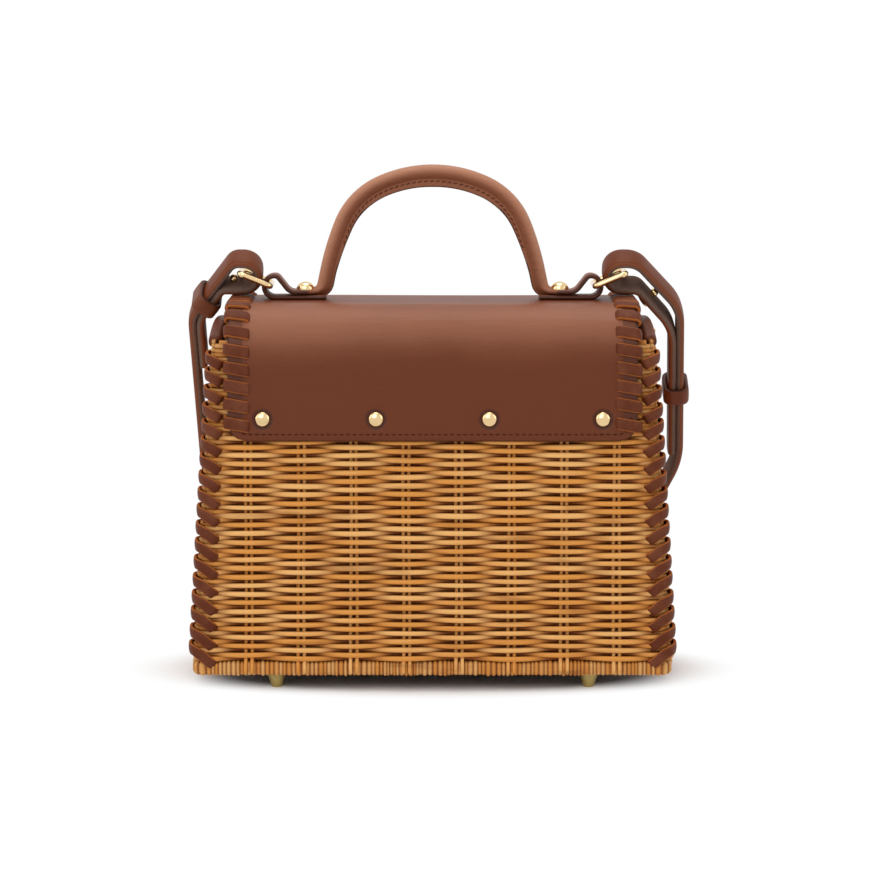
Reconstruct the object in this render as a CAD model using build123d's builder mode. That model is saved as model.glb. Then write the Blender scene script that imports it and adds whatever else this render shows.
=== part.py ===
from build123d import *
import os
from math import atan2, cos, degrees, hypot, radians, sin

# Rattan handbag: a woven basket on a wrapped rim, a laced leather cover with a hinged flap, a rolled
# handle, and a shoulder strap on two rings. Millimetres, +Z up, +X to the right of the riveted rear side,
# which faces -Y. The origin is the middle of the four feet, on the surface that the bag stands on.

os.makedirs("parts", exist_ok=True)

# Basket
base_width = 217.0
base_depth = 97.0
top_width = 199.2
top_depth = 72.0
wall_height = 145.0
wall_thick = 4.0
front_wall_drop = 11.0
shoulder_radius = 8.0
arch_rise = 5.5
border_height = 5.0
border_thick = 1.6
foot_height = 7.0
foot_top_radius = 5.0
foot_tip_radius = 2.4
foot_inset_x = 37.5
foot_inset_y = 10.5
foot_stem_radius = 1.5
foot_stem_length = 4.0
rim_height = 6.5
rim_width = 6.0
rim_corner_radius = 6.0
rim_rounding = 1.6
panel_thick = 5.0
lining_thick = 0.8
lining_margin = 4.0
binding_thick = 1.1
binding_depth = 4.0

# Weave: humps of the weavers over the stakes, each row shifted by one stake from the next
stake_pitch = 23.7
row_pitch = 3.85
row_height = 3.3
first_row = 3.4
weave_height = 1.2
weave_sink = 0.5
hump_overlap = 1.3
hump_run_share = 0.36
end_stake_pitch = 15.5

# Corner lacing
lace_thick = 1.2
lace_width = 5.4
lace_pitch = 7.7
lace_first = 2.5
lace_reach_low = 10.0
lace_reach_high = 5.4
end_lace_reach = 9.0
lace_drop = 4.0
end_lace_rise = 2.0

# Leather cover and flap
leather_thick = 2.5
leather_stand = 1.6
cover_side_margin = 7.6
cover_headroom = 15.0
cover_fall = 60.5
cover_corner_radius = 9.0
bend_radius = 20.0
hinge_inset = 22.3
hinge_gap = 0.5
side_lace_reach = 9.0
side_lace_width = 5.6
side_lace_pitch = 8.3
side_lace_hook = 1.0
side_lace_tilt_angle = 12.0
side_lace_start = 7.5
side_lace_end_margin = 4.5
rivet_height = 10.0
rivet_margin = 15.65
rivet_count = 4
rivet_radius = 3.5
rivet_dome = 1.9
rivet_rounding = 1.4
rivet_shank_radius = 1.5
rivet_cap_radius = 3.2
rivet_cap_thick = 1.0
snap_radius = 8.0
snap_thick = 0.6
snap_height = 12.0

# Rolled handle
tab_width = 13.0
tab_thick = 2.2
tab_layer_gap = 0.2
tab_end_margin = 1.0
handle_foot_inset = 11.0
handle_rise = 61.8
roll_radius = 3.7
flange_thick = 2.4
crown_in_share = 0.877
shoulder_shares = (0.509, 0.901)
haunch_shares = (0.874, 0.561)
ankle_shares = (0.987, 0.151)
shoulder_in_shares = (0.432, 0.812)
haunch_in_shares = (0.775, 0.533)
ankle_in_shares = (0.918, 0.151)
foot_in_share = 0.93
ring_loop_inner = 3.8
ring_loop_margin = 19.5
tab_slope_inset = 1.1
tab_slope_run = 5.8
tab_slope_radius = 2.0
tab_foot_radius = 5.0
ring_loop_round_share = 0.98
handle_rivet_inset = 14.0
handle_rivet_radius = 4.2
handle_rivet_dome = 3.4
handle_rivet_rounding = 2.6
handle_rivet_cap_radius = 4.0

# Rings
ring_wire_radius = 1.35
ring_inner_reach = 1.9
ring_inner_rise = 6.7
ring_run = 13.8
ring_tilt_rise = 5.8
ring_inner_width = 17.8
ring_corner_radius = 2.0

# Shoulder strap, drawn in a plane that leans back through both rings
strap_width = 13.0
strap_thick = 3.2
strap_back_stand = 46.27
strap_loop_inset = 1.2
strap_loop_inner = 5.5
strap_loop_round_share = 0.99
strap_layer_space = 3.6
strap_floor_gap = 0.6
right_fall_run = 6.5
right_side_stand = 6.1
right_side_v = -18.0
right_low_stand = 9.8
right_low_rise = 100.17
right_swag_run = 40.3
right_tail_fall_run = 7.5
right_tail_side_v = -28.0
right_tail_rise = 4.0
left_fall_run = 4.5
left_side_stand = 3.1
left_side_v = -22.0
left_low_stand = 1.0
left_low_rise = 93.17
left_swag_run = 39.5
left_tail_end_v = -49.0
fall_radius = 10.0
tail_fall_radius = 3.0
side_radius = 24.0
left_side_radius = 15.0
swag_turn_radius = 45.0
swag_radius = 55.0

# Strap studs and keepers
stud_disc_radius = 3.6
stud_disc_thick = 1.2
stud_post_radius = 1.6
stud_ball_radius = 1.9
right_stud_share = 0.3
left_stud_run = 4.6
keeper_length = 8.0
keeper_thick = 2.0
keeper_room = 0.5
keeper_rounding = 1.0
right_keeper_share = 0.547
left_keeper_share = 0.72

# Fits
fit_gap = 0.2
moving_gap = 0.3
hole_gap = 0.15

# Worked out from the sizes above
quarter_turn = 90
wall_low = foot_height + rim_height
depth_in = (base_depth - top_depth) / 2
width_in = (base_width - top_width) / 2
wide_slope = hypot(wall_height, depth_in)
narrow_slope = hypot(wall_height, width_in)
wide_cos = wall_height / wide_slope
wide_sin = depth_in / wide_slope
wide_seat = wall_thick * depth_in / wall_height
seat_rise = wide_seat * wide_cos
narrow_seat = wall_thick * width_in / wall_height
front_height = wall_height - front_wall_drop
leather_out = leather_stand + leather_thick
cover_half_width = top_width / 2 - cover_side_margin
cover_top = wall_low + wall_height + cover_headroom
cover_low = cover_top - cover_fall
hinge_offset = top_depth / 2 - hinge_inset
rivet_spacing = 2 * (cover_half_width - rivet_margin) / (rivet_count - 1)
foot_spacing_x = base_width - 2 * foot_inset_x
foot_spacing_y = base_depth - 2 * foot_inset_y
wide_stakes = int((base_width - 2 * lace_reach_low) / stake_pitch)
narrow_stakes = int((top_depth - 2 * wall_thick) / end_stake_pitch)
lace_turns = int((wall_height - lace_first) / lace_pitch)
tab_top = cover_top + 2 * tab_thick + tab_layer_gap
handle_top = cover_top + handle_rise
ring_loop_centre = cover_half_width - ring_loop_margin
tab_slope_start = ring_loop_centre - tab_slope_inset
tab_slope_end = tab_slope_start - tab_slope_run
handle_rivet_place = ring_loop_centre - handle_rivet_inset
handle_half_span = handle_rivet_place - handle_foot_inset
ring_inner_x = ring_loop_centre + ring_inner_reach
ring_inner_z = cover_top + ring_inner_rise
ring_outer_x = ring_inner_x + ring_run
ring_outer_z = ring_inner_z + ring_tilt_rise


def half_width_at(height):
    """Half the basket's outer width at a height above the rim."""
    return base_width / 2 - width_in * height / wall_height


def half_depth_at(height):
    """Half the basket's outer depth at a height above the rim."""
    return base_depth / 2 - depth_in * height / wall_height


def wall_plane(turn):
    """Outer face of a wall, counted round from the rear: x along the wall, y up its slope, z outwards."""
    reach, lean, slope = (
        (base_depth / 2, depth_in, wide_slope) if turn % 2 == 0 else (base_width / 2, width_in, narrow_slope)
    )
    along = Vector(1, 0, 0).rotate(Axis.Z, quarter_turn * turn)
    outward = Vector(0, -1, 0).rotate(Axis.Z, quarter_turn * turn)
    normal = outward * (wall_height / slope) + Vector(0, 0, lean / slope)
    return Plane(origin=outward * reach + Vector(0, 0, wall_low), x_dir=along, z_dir=normal)


rear_plane, right_plane, front_plane, left_plane = (wall_plane(turn) for turn in range(4))


def save(piece, label):
    """Names a finished piece and writes it to its own file."""
    piece.part.label = label
    export_step(piece.part, f"parts/{label}.step")


def stake_rows(plane, rows, stakes, pitch, limit_at):
    """For each row of weaving, its cross plane and the stakes that its weaver passes over."""
    for row in range(rows):
        height = first_row + row * row_pitch
        centre = plane.from_local_coords((0, height, 0))
        cross = Plane(origin=centre, x_dir=plane.x_dir, z_dir=plane.y_dir * -1)
        places = [(stake - (stakes - 1) / 2) * pitch for stake in range(stakes) if stake % 2 == row % 2]
        limit = limit_at(height) - (pitch + hump_overlap) / 2
        yield cross, [(place, -weave_sink) for place in places if abs(place) < limit]


def weaver_hump(pitch):
    """Section of one weaver where it rises over a stake."""
    length = pitch + hump_overlap
    height = weave_sink + weave_height
    slope_angle = degrees(atan2(height, hump_run_share * length))
    Trapezoid(length, height, slope_angle, align=(Align.CENTER, Align.MIN))


def wide_limit_at(height):
    """Half the width that the weave may fill on a wide wall, between its corner laces."""
    return half_width_at(height) - lace_reach_low


def end_limit_at(height):
    """Half the width that the weave may fill on an end wall, between its corner laces."""
    return half_depth_at(height) - end_lace_reach


def rivet_places():
    """Rivet centres on the rear wall's outer face."""
    height = cover_low + rivet_height - wall_low
    first = -rivet_spacing * (rivet_count - 1) / 2
    return [(first + i * rivet_spacing, height / wide_cos) for i in range(rivet_count)]


# Rear wall, with its rounded shoulders and the rivet holes
with BuildPart() as rear_wall:
    with BuildSketch(rear_plane) as outline:
        Polygon(
            (-half_width_at(seat_rise), wide_seat),
            (half_width_at(seat_rise), wide_seat),
            (half_width_at(wall_height), wide_slope),
            (-half_width_at(wall_height), wide_slope),
            align=None,
        )
        fillet(outline.vertices().group_by(Axis.Y)[-1], shoulder_radius)
    extrude(amount=-wall_thick)
    rear_rows = int((cover_low - wall_low - row_height) / row_pitch)
    for cross, places in stake_rows(rear_plane, rear_rows, wide_stakes, stake_pitch, wide_limit_at):
        with BuildSketch(cross):
            with Locations(*places):
                weaver_hump(stake_pitch)
    extrude(amount=row_height)
    with BuildSketch(rear_plane):
        with Locations(*rivet_places()):
            Circle(rivet_shank_radius + hole_gap)
    extrude(amount=-wall_thick, mode=Mode.SUBTRACT)
    with BuildSketch(rear_plane.offset(-wall_thick)):
        with Locations(*rivet_places()):
            Circle(rivet_cap_radius + hole_gap)
    extrude(amount=rivet_cap_thick, mode=Mode.SUBTRACT)
save(rear_wall, "rear_wall")

# Front wall, lower than the rear one and finished with a border along the mouth
with BuildPart() as front_wall:
    front_slope = front_height / wide_cos
    with BuildSketch(front_plane):
        Polygon(
            (-half_width_at(seat_rise), wide_seat),
            (half_width_at(seat_rise), wide_seat),
            (half_width_at(front_height), front_slope),
            (-half_width_at(front_height), front_slope),
            align=None,
        )
    extrude(amount=-wall_thick)
    for cross, places in stake_rows(front_plane, rear_rows, wide_stakes, stake_pitch, wide_limit_at):
        with BuildSketch(cross):
            with Locations(*places):
                weaver_hump(stake_pitch)
    extrude(amount=row_height)
    with BuildSketch(front_plane.offset(-wall_thick)):
        with Locations((0, front_slope - border_height / 2)):
            Rectangle(2 * (half_width_at(front_height) - wall_thick - border_thick), border_height)
    extrude(amount=-border_thick)
save(front_wall, "front_wall")

# End walls, between the two wide walls, with arched tops
end_inset = wall_thick / wide_cos + fit_gap


def end_outline():
    """Edge of an end wall: straight sides and an arched top."""
    low = half_depth_at(0) - end_inset
    high = half_depth_at(wall_height) - end_inset
    Polyline((-high, narrow_slope), (-low, narrow_seat), (low, narrow_seat), (high, narrow_slope))
    ThreePointArc((high, narrow_slope), (0, narrow_slope + arch_rise), (-high, narrow_slope))


def end_wall(plane):
    """One woven end wall."""
    with BuildPart() as wall:
        with BuildSketch(plane):
            with BuildLine():
                end_outline()
            make_face()
        extrude(amount=-wall_thick)
        rows = int((narrow_slope - binding_depth - row_height - first_row) / row_pitch)
        for cross, places in stake_rows(plane, rows, narrow_stakes, end_stake_pitch, end_limit_at):
            with BuildSketch(cross):
                with Locations(*places):
                    weaver_hump(end_stake_pitch)
        extrude(amount=row_height)
    return wall


save(end_wall(right_plane), "right_end_wall")
save(end_wall(left_plane), "left_end_wall")


def end_binding(plane):
    """Leather strip folded over the arched top of an end wall."""
    high = half_depth_at(wall_height) - end_inset
    low_edge = narrow_slope - binding_depth
    with BuildPart() as strip:
        with BuildSketch(plane.offset(binding_thick)):
            with BuildLine():
                Line((-high, low_edge), (-high, narrow_slope + binding_thick))
                ThreePointArc(
                    (-high, narrow_slope + binding_thick),
                    (0, narrow_slope + arch_rise + binding_thick),
                    (high, narrow_slope + binding_thick),
                )
                Line((high, narrow_slope + binding_thick), (high, low_edge))
                ThreePointArc((high, low_edge), (0, low_edge + arch_rise), (-high, low_edge))
            make_face()
        extrude(amount=-(wall_thick + 2 * binding_thick))
        with BuildSketch(plane):
            with BuildLine():
                end_outline()
            make_face()
        extrude(amount=-wall_thick, mode=Mode.SUBTRACT)
    return strip


save(end_binding(right_plane), "right_end_binding")
save(end_binding(left_plane), "left_end_binding")

# Wrapped rim round the base
with BuildPart() as base_rim:
    with BuildSketch(Plane.XY.offset(foot_height)):
        RectangleRounded(base_width, base_depth, rim_corner_radius)
    extrude(amount=rim_height)
    fillet(base_rim.faces().filter_by(Axis.Z).edges(), rim_rounding)
    with BuildSketch(Plane.XY.offset(foot_height)):
        Rectangle(base_width - 2 * rim_width, base_depth - 2 * rim_width)
    extrude(amount=rim_height, mode=Mode.SUBTRACT)
save(base_rim, "base_rim")


def foot_places():
    """Foot centres, seen from above."""
    return [
        (side_x * foot_spacing_x / 2, side_y * foot_spacing_y / 2)
        for side_x in (-1, 1)
        for side_y in (-1, 1)
    ]


# Base panel inside the rim, drilled for the feet
with BuildPart() as base_panel:
    with BuildSketch(Plane.XY.offset(foot_height)):
        Rectangle(base_width - 2 * (rim_width + fit_gap), base_depth - 2 * (rim_width + fit_gap))
        with Locations(*foot_places()):
            Circle(foot_stem_radius + hole_gap, mode=Mode.SUBTRACT)
    extrude(amount=panel_thick)
save(base_panel, "base_panel")


def foot(place):
    """A turned brass foot with its stem."""
    with BuildPart() as turned:
        with BuildSketch(Plane(origin=(place[0], place[1], 0), x_dir=(1, 0, 0), z_dir=(0, -1, 0))):
            Polygon(
                (0, 0),
                (foot_tip_radius, 0),
                (foot_top_radius, foot_height),
                (foot_stem_radius, foot_height),
                (foot_stem_radius, foot_height + foot_stem_length),
                (0, foot_height + foot_stem_length),
                align=None,
            )
        revolve(axis=Axis((place[0], place[1], 0), (0, 0, 1)))
    return turned


foot_names = ("foot_left_rear", "foot_left_front", "foot_right_rear", "foot_right_front")
for name, place in zip(foot_names, foot_places()):
    save(foot(place), name)

# Fabric lining, an open box just inside the walls
with BuildPart() as lining:
    low = wall_low + fit_gap
    high = wall_low + front_height - lining_margin
    for thick, mode in ((0, Mode.ADD), (lining_thick, Mode.SUBTRACT)):
        inset = wall_thick + border_thick + fit_gap + thick
        for level in (low + thick, high):
            with BuildSketch(Plane.XY.offset(level)):
                Rectangle(
                    2 * (half_width_at(level - wall_low) - inset),
                    2 * (half_depth_at(level - wall_low) - inset),
                )
        loft(mode=mode)
save(lining, "lining")


def lace_leg(plane, side, corner_at, slope, turn, reach, drop, past):
    """One leg of a corner lace on a wall, from the corner edge to its hole in the weave."""
    low = lace_first + turn * lace_pitch
    high = low + lace_width
    scale = slope / wall_height
    with BuildSketch(plane) as leg:
        Polygon(
            (side * (corner_at(low) + past), low * scale),
            (side * (corner_at(high) + past), high * scale),
            (side * (corner_at(high) - reach), (high - drop) * scale),
            (side * (corner_at(low) - reach), (low - drop) * scale),
            align=None,
        )
    return leg


def corner_lace(corner):
    """Whip lacing round one corner: bands that drop on the wide wall and climb on the end wall."""
    legs = []
    for turn in range(lace_turns):
        share = turn / (lace_turns - 1)
        wide_reach = lace_reach_low + (lace_reach_high - lace_reach_low) * share
        for wall, side in ((corner, 1), ((corner + 1) % 4, -1)):
            past = lace_thick if side > 0 else 0
            if wall % 2 == 0:
                legs.append(
                    lace_leg(
                        wall_plane(wall),
                        side,
                        half_width_at,
                        wide_slope,
                        turn,
                        wide_reach,
                        lace_drop,
                        past,
                    )
                )
            else:
                legs.append(
                    lace_leg(
                        wall_plane(wall),
                        side,
                        half_depth_at,
                        narrow_slope,
                        turn,
                        end_lace_reach,
                        -end_lace_rise,
                        past,
                    )
                )
    with BuildPart() as lace:
        for leg in legs:
            extrude(leg.sketch, amount=lace_thick)
    return lace


for corner, name in enumerate(("right_rear", "right_front", "left_front", "left_rear")):
    save(corner_lace(corner), f"corner_lace_{name}")


def leather_corners(out):
    """Corner points, in the YZ plane, of a line along the leather at a distance from the rear wall."""
    level = cover_top - (leather_out - out)
    low = cover_low - wall_low
    bend = level - wall_low - out * wide_sin
    return (
        (-half_depth_at(low) - out * wide_cos, cover_low + out * wide_sin),
        (-half_depth_at(bend) - out * wide_cos, level),
        (hinge_offset - hinge_gap / 2, level),
    )


def front_corners(out):
    """The same line on the front side, from the hinge to the flap's lower edge."""
    low, bend, top = leather_corners(out)
    return (-low[0], low[1]), (-bend[0], bend[1]), (hinge_offset + hinge_gap / 2, top[1])


leather_middle = leather_stand + leather_thick / 2

# Cover: rear face and top in one piece of leather, with holes for its rivets and the handle's
with BuildPart() as cover_panel:
    with BuildSketch(Plane.YZ):
        with BuildLine():
            FilletPolyline(*leather_corners(leather_middle), radius=bend_radius - leather_thick / 2)
        trace(line_width=leather_thick)
    extrude(amount=cover_half_width, both=True)
    low_corners = cover_panel.faces().sort_by(Axis.Z)[0].edges().filter_by(Axis.X, reverse=True)
    fillet(low_corners, cover_corner_radius)
    with BuildSketch(rear_plane):
        with Locations(*rivet_places()):
            Circle(rivet_shank_radius + hole_gap)
    extrude(amount=leather_out + fit_gap, mode=Mode.SUBTRACT)
    with BuildSketch(Plane.XY.offset(cover_top)):
        with Locations((-handle_rivet_place, 0), (handle_rivet_place, 0)):
            Circle(rivet_shank_radius + hole_gap)
    extrude(amount=-leather_thick, mode=Mode.SUBTRACT)
save(cover_panel, "cover_panel")

# Flap: the front half of the leather, hinged along its crease on the top
with BuildPart() as flap_panel:
    with BuildSketch(Plane.YZ):
        with BuildLine():
            FilletPolyline(*front_corners(leather_middle), radius=bend_radius - leather_thick / 2)
        trace(line_width=leather_thick)
    extrude(amount=cover_half_width, both=True)
    low_corners = flap_panel.faces().sort_by(Axis.Z)[0].edges().filter_by(Axis.X, reverse=True)
    fillet(low_corners, cover_corner_radius)
save(flap_panel, "flap_panel")


def side_lace(corners, side):
    """Whip lacing along one side edge of the leather: slanted bands that hook over the edge."""
    with BuildLine() as edge_line:
        FilletPolyline(*corners, radius=bend_radius)
    path = edge_line.wire()
    length = path.length
    count = int((length - side_lace_start - side_lace_end_margin) / side_lace_pitch) + 1
    slant = sin(radians(side_lace_tilt_angle))
    inner = cover_half_width - side_lace_reach
    outer = cover_half_width + lace_thick
    with BuildPart() as lace:
        for band in range(count):
            along = (side_lace_start + band * side_lace_pitch) / length
            spot = path @ along
            heading = path % along
            upwards = Vector(0, heading.X, heading.Y)
            plane = Plane(
                origin=(0, spot.X, spot.Y), x_dir=(1, 0, 0), z_dir=Vector(1, 0, 0).cross(upwards)
            )
            if plane.z_dir.dot(Vector(0, spot.X, spot.Y - cover_low)) < 0:
                plane = Plane(origin=plane.origin, x_dir=(1, 0, 0), z_dir=plane.z_dir * -1)
            near = (inner, outer) if side > 0 else (-outer, -inner)
            drop = [-slant * (x - sum(near) / 2) for x in near]
            half = side_lace_width / 2
            with BuildSketch(plane):
                Polygon(
                    (near[0], drop[0] - half),
                    (near[1], drop[1] - half),
                    (near[1], drop[1] + half),
                    (near[0], drop[0] + half),
                    align=None,
                )
            extrude(amount=lace_thick)
            edge_drop = drop[1] if side > 0 else drop[0]
            with BuildSketch(plane):
                with Locations((side * (cover_half_width + lace_thick / 2), edge_drop)):
                    Rectangle(lace_thick, side_lace_width)
            extrude(amount=-(leather_thick + side_lace_hook))
    return lace


for side, name in ((-1, "left"), (1, "right")):
    save(side_lace(leather_corners(leather_out), side), f"cover_lace_{name}")
    save(side_lace(front_corners(leather_out), side), f"flap_lace_{name}")


def domed_head(radius, height, rounding):
    """A rivet's domed head, standing on the working plane."""
    with BuildPart() as head:
        Cylinder(radius, height, align=(Align.CENTER, Align.CENTER, Align.MIN))
        fillet(head.edges().group_by(Axis.Z)[-1], rounding)
    return head.part


# Cover rivets: dome outside, shank through leather and weave, cap let into the wall's inner face
with BuildPart() as cover_rivets:
    with Locations(rear_plane.offset(leather_out)):
        with Locations(*rivet_places()):
            add(domed_head(rivet_radius, rivet_dome, rivet_rounding))
    with BuildSketch(rear_plane.offset(leather_out)):
        with Locations(*rivet_places()):
            Circle(rivet_shank_radius)
    extrude(amount=-(leather_out + wall_thick))
    with BuildSketch(rear_plane.offset(-wall_thick)):
        with Locations(*rivet_places()):
            Circle(rivet_cap_radius)
    extrude(amount=rivet_cap_thick)
save(cover_rivets, "cover_rivets")

# Magnetic snap: a flat disc on the front wall and its mate under the flap
snap_place = (0, (cover_low + snap_height - wall_low) / wide_cos)
with BuildPart() as wall_snap:
    with BuildSketch(front_plane):
        with Locations(snap_place):
            Circle(snap_radius)
    extrude(amount=snap_thick)
save(wall_snap, "wall_snap")
with BuildPart() as flap_snap:
    with BuildSketch(front_plane.offset(leather_stand)):
        with Locations(snap_place):
            Circle(snap_radius)
    extrude(amount=-snap_thick)
save(flap_snap, "flap_snap")


def arch_point(shares):
    """A point of the left half of the handle's arch, from shares of its half span and of its rise."""
    rise = handle_top - roll_radius - tab_top
    return (-shares[0] * handle_half_span, tab_top + shares[1] * rise)


def arch_line(crown, shoulder, haunch, ankle, foot_share):
    """Half of the handle's arch, from its crown down to the tab, as tangent arcs: its two ends."""
    top = TangentArc(arch_point((0, crown)), arch_point(shoulder), tangent=(-1, 0))
    side = TangentArc(top @ 1, arch_point(haunch), tangent=top % 1)
    leg = TangentArc(side @ 1, arch_point(ankle), tangent=side % 1)
    end = Line(leg @ 1, arch_point((foot_share, 0)))
    return top @ 0, end @ 1


# Handle: rolled leather with a stitched flange, running out into tabs that loop round the rings
tab_low = cover_top + tab_thick / 2
tab_high = tab_low + tab_thick + tab_layer_gap
tab_end = handle_half_span - roll_radius - tab_end_margin
loop_radius = ring_loop_inner + tab_thick / 2
loop_round = loop_radius * ring_loop_round_share
with BuildPart() as handle:
    with BuildLine(Plane.XZ):
        arch_line(1, shoulder_shares, haunch_shares, ankle_shares, 1)
    with BuildSketch(Plane.YZ):
        with Locations((0, handle_top - roll_radius)):
            Circle(roll_radius)
    sweep()
    with BuildSketch(Plane.XZ):
        with BuildLine():
            outer = arch_line(1, shoulder_shares, haunch_shares, ankle_shares, 1)
            inner = arch_line(
                crown_in_share, shoulder_in_shares, haunch_in_shares, ankle_in_shares, foot_in_share
            )
            Line(outer[0], inner[0])
            Line(outer[1], inner[1])
        make_face()
    extrude(amount=flange_thick / 2, both=True)
    with BuildSketch(Plane.XZ):
        with BuildLine():
            FilletPolyline(
                (-tab_end, tab_low),
                (-ring_loop_centre - loop_radius, tab_low),
                (-ring_loop_centre - loop_radius, tab_low + 2 * loop_radius),
                (-tab_slope_start, tab_low + 2 * loop_radius),
                (-tab_slope_end, tab_high),
                (-tab_end, tab_high),
                radius=[loop_round, loop_round, tab_slope_radius, tab_foot_radius],
            )
        trace(line_width=tab_thick)
    extrude(amount=tab_width / 2, both=True)
    with BuildSketch(Plane.XY.offset(cover_top)):
        with Locations((-handle_rivet_place, 0)):
            Circle(rivet_shank_radius + hole_gap)
    extrude(amount=2 * tab_thick + tab_layer_gap, mode=Mode.SUBTRACT)
    mirror(about=Plane.YZ)
save(handle, "handle")

# Handle rivets: dome on the tab, shank through tab and cover, cap under the cover
with BuildPart() as handle_rivets:
    for side in (-1, 1):
        with Locations((side * handle_rivet_place, 0, tab_top)):
            add(domed_head(handle_rivet_radius, handle_rivet_dome, handle_rivet_rounding))
        with Locations((side * handle_rivet_place, 0, tab_top)):
            Cylinder(
                rivet_shank_radius,
                tab_top - cover_top + leather_thick,
                align=(Align.CENTER, Align.CENTER, Align.MAX),
            )
        with Locations((side * handle_rivet_place, 0, cover_top - leather_thick)):
            Cylinder(handle_rivet_cap_radius, rivet_cap_thick, align=(Align.CENTER, Align.CENTER, Align.MAX))
save(handle_rivets, "handle_rivets")


def ring(side):
    """An oblong wire ring, tilted with its outer end up."""
    reach = Vector(side * (ring_outer_x - ring_inner_x), 0, ring_outer_z - ring_inner_z)
    length = reach.length
    along = reach.normalized()
    plane = Plane(
        origin=(side * ring_inner_x, 0, ring_inner_z), x_dir=along, z_dir=along.cross(Vector(0, 1, 0))
    )
    half = ring_inner_width / 2 + ring_wire_radius
    with BuildPart() as wire:
        with BuildLine(plane) as loop:
            FilletPolyline(
                (0, -half), (length, -half), (length, half), (0, half), radius=ring_corner_radius, close=True
            )
        with BuildSketch(Plane(origin=loop.wire() @ 0, z_dir=loop.wire() % 0)):
            Circle(ring_wire_radius)
        sweep()
    return wire


save(ring(-1), "ring_left")
save(ring(1), "ring_right")

# Strap plane: x to the right, y up the leaning plane, level with the rings' outer bars
lean = atan2(base_depth / 2 + strap_back_stand, ring_outer_z)
strap_plane = Plane(origin=(0, 0, ring_outer_z), x_dir=(1, 0, 0), z_dir=(0, -cos(lean), -sin(lean)))
strap_loop = strap_loop_inner + strap_thick / 2
strap_floor_v = (
    -(ring_outer_z - strap_floor_gap - strap_width / 2 * sin(lean)) / cos(lean) + strap_thick / 2
)


def beside(start, end, space):
    """The line from start to end, moved to its right by space."""
    run = Vector(*end) - Vector(*start)
    shift = Vector(run.Y, -run.X).normalized() * space
    return Vector(*start) + shift, Vector(*end) + shift


def crossing_at(start, end, level):
    """Where the line through two points reaches a level of the strap plane."""
    return start.X + (end.X - start.X) * (level - start.Y) / (end.Y - start.Y)


widest = max(base_width, top_width) / 2
strap_loop_centre = ring_outer_x - strap_loop_inset
right_side = (widest + right_side_stand, right_side_v)
right_low = (widest + right_low_stand, strap_floor_v + right_low_rise)
right_tail_a, right_tail_b = beside(right_side, right_low, strap_layer_space)
left_fall = (-strap_loop_centre - left_fall_run, strap_loop)
left_side = (-widest - left_side_stand, left_side_v)
left_low = (-widest - left_low_stand, strap_floor_v + left_low_rise)
left_tail_a, left_tail_b = beside(left_fall, left_side, -strap_layer_space)
left_tail_c, left_tail_d = beside(left_side, left_low, -strap_layer_space)
left_tail_fall = (crossing_at(left_tail_a, left_tail_b, -strap_loop), -strap_loop)
right_tail_fall = (strap_loop_centre + right_tail_fall_run, -strap_loop)
right_tail_end_v = right_low[1] + right_tail_rise
right_tail_side = (crossing_at(right_tail_a, right_tail_b, right_tail_side_v), right_tail_side_v)


def line_meeting(a, b, c, d):
    """Where the line through a and b meets the line through c and d."""
    first = b - a
    second = d - c
    gap = c - a
    share = (gap.X * second.Y - gap.Y * second.X) / (first.X * second.Y - first.Y * second.X)
    return a + first * share


left_tail_side = line_meeting(left_tail_a, left_tail_b, left_tail_c, left_tail_d)
strap_round = strap_loop * strap_loop_round_share
strap_points = [
    (crossing_at(right_tail_a, right_tail_b, right_tail_end_v), right_tail_end_v),
    right_tail_side,
    right_tail_fall,
    (strap_loop_centre - strap_loop, -strap_loop),
    (strap_loop_centre - strap_loop, strap_loop),
    (strap_loop_centre + right_fall_run, strap_loop),
    right_side,
    right_low,
    (right_low[0] - right_swag_run, strap_floor_v),
    (left_low[0] + left_swag_run, strap_floor_v),
    left_low,
    left_side,
    left_fall,
    (-strap_loop_centre + strap_loop, strap_loop),
    (-strap_loop_centre + strap_loop, -strap_loop),
    left_tail_fall,
    (left_tail_side.X, left_tail_side.Y),
    (crossing_at(left_tail_c, left_tail_d, left_tail_end_v), left_tail_end_v),
]
strap_radii = [
    side_radius,
    fall_radius / 2,
    strap_round,
    strap_round,
    fall_radius,
    side_radius,
    swag_turn_radius,
    swag_radius,
    swag_radius,
    swag_turn_radius,
    left_side_radius,
    fall_radius / 2,
    strap_round,
    strap_round,
    tail_fall_radius,
    left_side_radius,
]


def stud_plane(start, end, share):
    """Plane on the upper face of the strap's lower layer, part of the way from start to end."""
    a, b = Vector(*start), Vector(*end)
    place = a + (b - a) * share
    along = (strap_plane.from_local_coords(b) - strap_plane.from_local_coords(a)).normalized()
    across = strap_plane.z_dir
    normal = along.cross(across)
    if normal.Z < 0:
        normal = normal * -1
    origin = strap_plane.from_local_coords((place.X, place.Y, 0))
    return Plane(origin=origin + normal * (strap_thick / 2), x_dir=across, z_dir=normal)


right_stud_plane = stud_plane(right_tail_fall, right_tail_side, right_stud_share)
left_stud_share = -left_stud_run / (left_tail_fall[0] + strap_loop_centre)
left_stud_plane = stud_plane((-strap_loop_centre, -strap_loop), left_tail_fall, left_stud_share)

# Shoulder strap: doubled at both ends round the rings, its swag lying behind the bag
with BuildPart() as shoulder_strap:
    with BuildSketch(strap_plane):
        with BuildLine():
            FilletPolyline(*strap_points, radius=strap_radii)
        trace(line_width=strap_thick)
    extrude(amount=strap_width / 2, both=True)
    for plane in (right_stud_plane, left_stud_plane):
        with BuildSketch(plane.offset(fit_gap)):
            Circle(stud_post_radius + moving_gap)
        extrude(amount=-(strap_thick + 2 * fit_gap), mode=Mode.SUBTRACT)
save(shoulder_strap, "shoulder_strap")


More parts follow.
